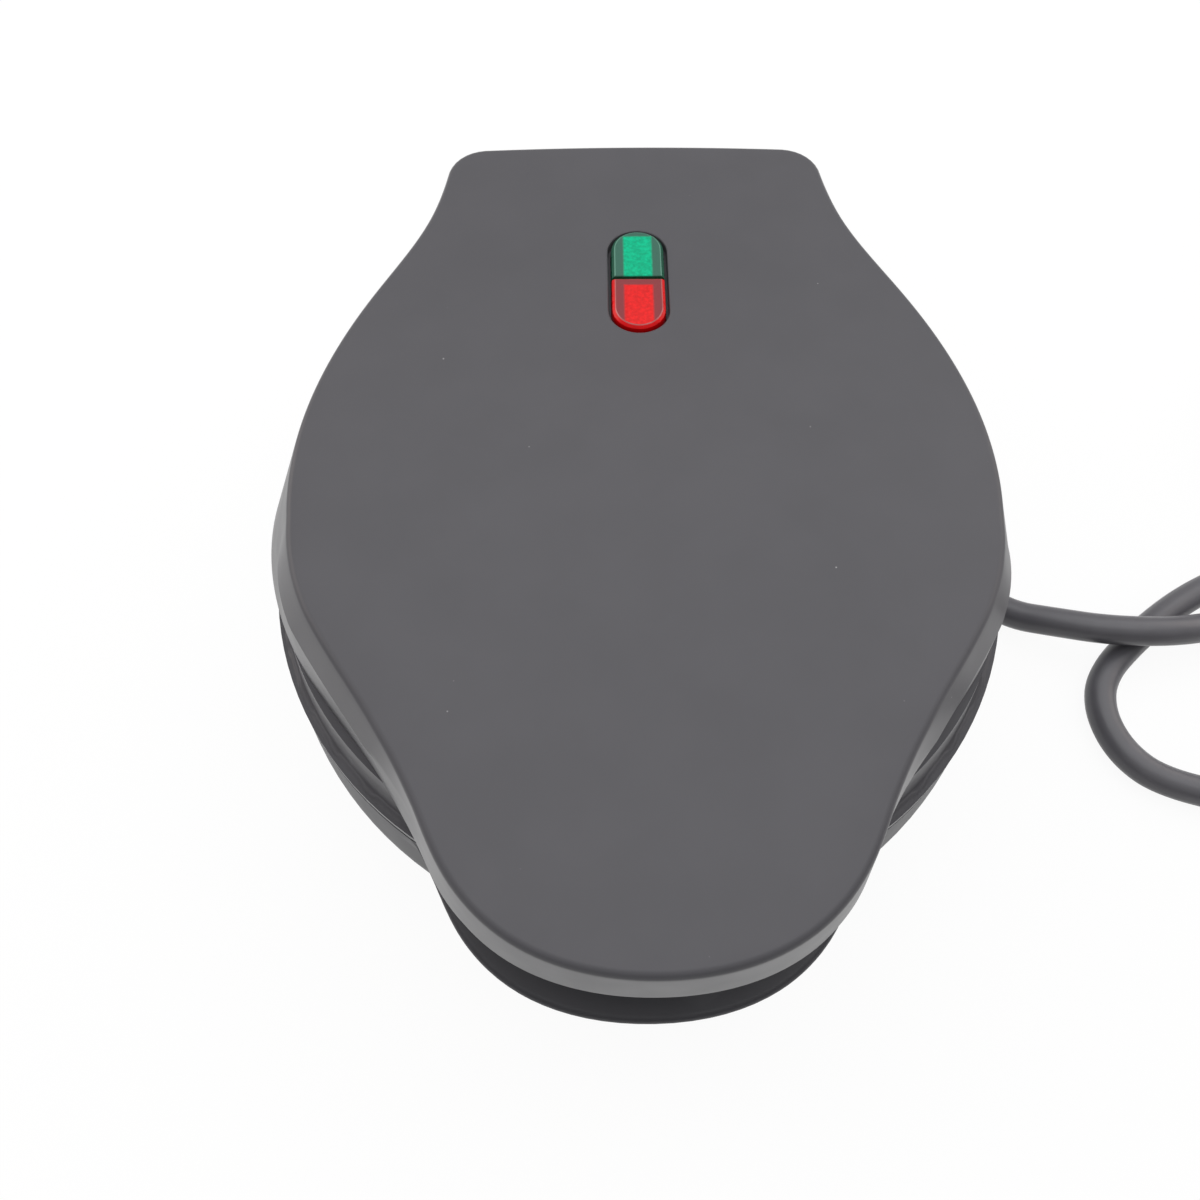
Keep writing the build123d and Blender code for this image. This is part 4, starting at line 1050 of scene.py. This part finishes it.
@dataclass
class Cord:
    """The lead, from its strain relief past the right of the body to its coil and its plug."""

    radius: float = 3.5
    floor: float = 3.55
    boot_tip: Point = (18.0, 114.8, 15.0)
    coil_centre: Pair = (205.0, 62.0)
    coil_radius: float = 40.0
    pitch: float = 7.5
    coil_low: float = 4.6
    plug_place: Pair = (239.0, 111.0)
    plug_heading: float = 115.0
    plug_height: float = 18.252
    steps: int = 8

    def route(self) -> list[Point]:
        """The free cord on the table.

        Returns:
            Its control points, in millimetres about the round body.
        """
        f = self.floor
        return [
            self.boot_tip, (18.0, 138.2, 15.0), (26.5, 149.8, 12.0), (40.2, 154.3, 8.0), (53.8, 149.8, 4.8),
            (62.3, 138.2, f), (66.5, 123.0, f), (71.0, 108.0, f), (76.0, 93.0, f), (80.0, 78.0, f),
            (81.5, 63.0, f), (79.4, 44.0, f), (78.5, 26.0, f), (83.0, 14.5, f), (91.5, 6.2, 4.6),
            (101.0, 2.0, 8.3), (112.0, -1.9, 11.3), (127.0, -2.4, 11.3), (142.0, 1.6, 7.2),
            (157.5, 6.2, 4.0), (172.9, 0.8, f), (181.6, -12.6, f), (180.8, -28.6, f), (170.7, -41.0, f),
            (155.2, -45.1, f), (138.7, -41.8, f), (119.3, -37.0, f), (111.6, -29.9, f), (108.6, -19.9, f),
            (111.0, -10.0, f), (122.5, 0.9, f), (136.0, 10.8, f), (151.0, 18.0, f), (167.0, 21.6, f + 0.1),
            (185.5, 22.0, self.coil_low), (198.0, 22.0, self.coil_low),
        ]

    def turns(self) -> list[Point]:
        """The wound turns, half turn by half turn.

        Returns:
            Their control points.
        """
        x, y = self.coil_centre
        low, high = self.coil_low, self.coil_low + self.pitch
        outer, inner = self.coil_radius, self.coil_radius - self.pitch
        stops = [(-outer, low), (outer, low), (-inner, low), (inner, high), (-outer, high)]
        step = math.pi / self.steps
        points = []
        for count, ((y0, z0), (y1, z1)) in enumerate(zip(stops, stops[1:])):
            radius = abs(y1 - y0) / 2 / math.cos(step / 2)
            start = -math.pi / 2 if count % 2 == 0 else math.pi / 2
            for index in range(self.steps):
                turned = (index + 0.5) * step
                angle = start + turned
                points.append((x + radius * math.cos(angle), y + (y0 + y1) / 2 + radius * math.sin(angle),
                               z0 + (z1 - z0) * (1 - math.cos(turned)) / 2))
        for index in range(self.steps // 2):
            angle = -math.pi / 2 + (index + 0.5) * step
            radius = outer / math.cos(step / 2)
            points.append((x + radius * math.cos(angle), y + radius * math.sin(angle), high))
        return points

    def plug_point(self, along: float) -> Point:
        """A point on the plug's axis.

        Args:
            along: Its distance from the end of the plug's strain relief.

        Returns:
            The point.
        """
        angle = math.radians(self.plug_heading)
        return (self.plug_place[0] + along * math.cos(angle), self.plug_place[1] + along * math.sin(angle),
                self.plug_height)

    def tail(self) -> list[Point]:
        """The stretch from the coil to the plug.

        Returns:
            Its control points.
        """
        x, y = self.coil_centre[0] + self.coil_radius, self.coil_centre[1]
        high = self.coil_low + self.pitch
        return [(x, y, high), (x, y + 7.0, high), (x, y + 19.5, high), self.plug_point(-12.5),
                self.plug_point(0.0)]

    def build(self) -> bpy.types.Object:
        """Lays the whole cord as one smooth curve.

        Returns:
            The cord.
        """
        points = self.route() + self.turns() + self.tail()
        curve = bpy.data.curves.new("lead", "CURVE")
        curve.dimensions = "3D"
        spline = curve.splines.new("NURBS")
        spline.points.add(len(points) - 1)
        for control, point in zip(spline.points, points):
            control.co = (*at(*point), 1.0)
        spline.order_u = 3
        spline.use_endpoint_u = True
        curve.resolution_u = 10
        curve.bevel_depth = self.radius * MM
        curve.bevel_resolution = 6
        curve.use_fill_caps = True
        obj = bpy.data.objects.new("lead", curve)
        bpy.context.scene.collection.objects.link(obj)
        seat(obj, LEAD, Body.BASE, ("power_cord", "cord_coil", "cord_tail"))
        return obj


@dataclass(frozen=True)
class Lamp:
    """A square area lamp: place and size in metres, power in watts, turn in degrees."""

    name: str
    place: Point
    size: float
    power: float
    turn: Point
    colour: Point

    def build(self) -> None:
        """Hangs the lamp."""
        data = bpy.data.lights.new(self.name, "AREA")
        data.size = self.size
        data.energy = self.power
        data.color = self.colour
        obj = bpy.data.objects.new(self.name, data)
        obj.location = self.place
        obj.rotation_euler = [math.radians(value) for value in self.turn]
        bpy.context.scene.collection.objects.link(obj)


COOL, WARM = (0.97, 0.98, 1.0), (1.0, 0.9, 0.84)
LAMPS = (
    Lamp("lamp_above", (0.1, 0.3, 1.3), 1.6, 10.0, (-13.0, 4.0, 0.0), COOL),
    Lamp("lamp_right", (1.1, 0.5, 0.6), 0.9, 3.8, (-21.7, 61.3, 0.0), WARM),
    Lamp("lamp_left", (-1.1, 0.5, 0.6), 0.9, 5.8, (-21.7, -61.3, 0.0), WARM),
)


@dataclass
class Studio:
    """The floor, the lamps, the world and the camera, which looks as in the photograph.

    Places and sizes are in metres, turns in degrees and the lens in millimetres. The world
    brightens from its horizon colour to white, upwards and a little to the rear.
    """

    camera_place: Point = (-0.00895, -0.12628, 0.25156)
    camera_tilt: float = 29.5
    camera_turn: float = -0.4
    lens: float = 34.65
    sensor: float = 36.0
    nearest: float = 0.01
    floor_size: float = 8.0
    floor_tone: float = 0.5
    floor_glow: float = 1.06
    glow_share: float = 0.88
    horizon: Point = (0.22, 0.21, 0.2)
    sky_strength: float = 0.7
    sky_rise: Point = (0.0, 0.35, 1.0)
    sky_from: float = 0.02
    sky_to: float = 0.62

    def camera(self) -> None:
        """Sets the camera at the photograph's view."""
        data = bpy.data.cameras.new("view")
        data.lens = self.lens
        data.sensor_width = self.sensor
        data.clip_start = self.nearest
        obj = bpy.data.objects.new("view", data)
        obj.location = self.camera_place
        obj.rotation_euler = (math.radians(self.camera_tilt), 0.0, math.radians(self.camera_turn))
        bpy.context.scene.collection.objects.link(obj)
        bpy.context.scene.camera = obj

    def floor(self) -> None:
        """Lays the floor, which the camera, reflections and glass see as nearly white."""
        bpy.ops.object.select_all(action="DESELECT")
        bpy.ops.mesh.primitive_plane_add(size=self.floor_size)
        obj = bpy.context.active_object
        obj.name = "floor"
        material = bpy.data.materials.new("floor_paper")
        material.use_nodes = True
        tree = NodeTree(material)
        tree.shader.inputs["Base Color"].default_value = (*[self.floor_tone] * 3, 1.0)
        tree.shader.inputs["Roughness"].default_value = 0.9
        glow = tree.add("ShaderNodeEmission")
        glow.inputs["Strength"].default_value = self.floor_glow
        rays = tree.add("ShaderNodeLightPath")
        seen = tree.math("MAXIMUM", rays.outputs["Is Camera Ray"], rays.outputs["Is Glossy Ray"])
        seen = tree.math("MAXIMUM", seen, rays.outputs["Is Transmission Ray"])
        share = tree.math("MULTIPLY", seen, self.glow_share)
        blend = tree.add("ShaderNodeMixShader")
        tree.link(share, blend.inputs["Fac"])
        tree.link(tree.shader.outputs["BSDF"], blend.inputs[1])
        tree.link(glow.outputs["Emission"], blend.inputs[2])
        output = tree.tree.nodes["Material Output"]
        tree.link(blend.outputs["Shader"], output.inputs["Surface"])
        obj.data.materials.append(material)

    def world(self) -> None:
        """Sets the world, which is darker at the horizon and to the front."""
        world = bpy.data.worlds.new("soft_room")
        world.use_nodes = True
        nodes, links = world.node_tree.nodes, world.node_tree.links
        background = nodes["Background"]
        background.inputs["Strength"].default_value = self.sky_strength
        place, rise, ramp = (nodes.new(kind) for kind in (
            "ShaderNodeTexCoord", "ShaderNodeVectorMath", "ShaderNodeValToRGB"))
        rise.operation = "DOT_PRODUCT"
        rise.inputs[1].default_value = self.sky_rise
        low, high = ramp.color_ramp.elements
        low.position, high.position = self.sky_from, self.sky_to
        low.color, high.color = (*self.horizon, 1.0), (*WHITE, 1.0)
        links.new(place.outputs["Generated"], rise.inputs[0])
        links.new(rise.outputs["Value"], ramp.inputs["Fac"])
        links.new(ramp.outputs["Color"], background.inputs["Color"])
        bpy.context.scene.world = world

    def build(self) -> None:
        """Sets up everything round the object."""
        self.camera()
        self.floor()
        for lamp in LAMPS:
            lamp.build()
        self.world()
        bpy.context.scene.view_settings.view_transform = "Standard"


def main() -> None:
    """Builds every piece in order."""
    logging.basicConfig(level=logging.INFO, format="%(message)s")
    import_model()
    Studio().build()
    for node, finish in NODE_FINISH.items():
        dress(bpy.data.objects[node], finish)
    cord = Cord()
    lead = cord.build()
    LidCover().build()
    Lens(front=False).build()
    Lens(front=True).build()
    built = [(piece, piece.build()) for piece in COPIES]


if __name__ == "__main__":
    main()
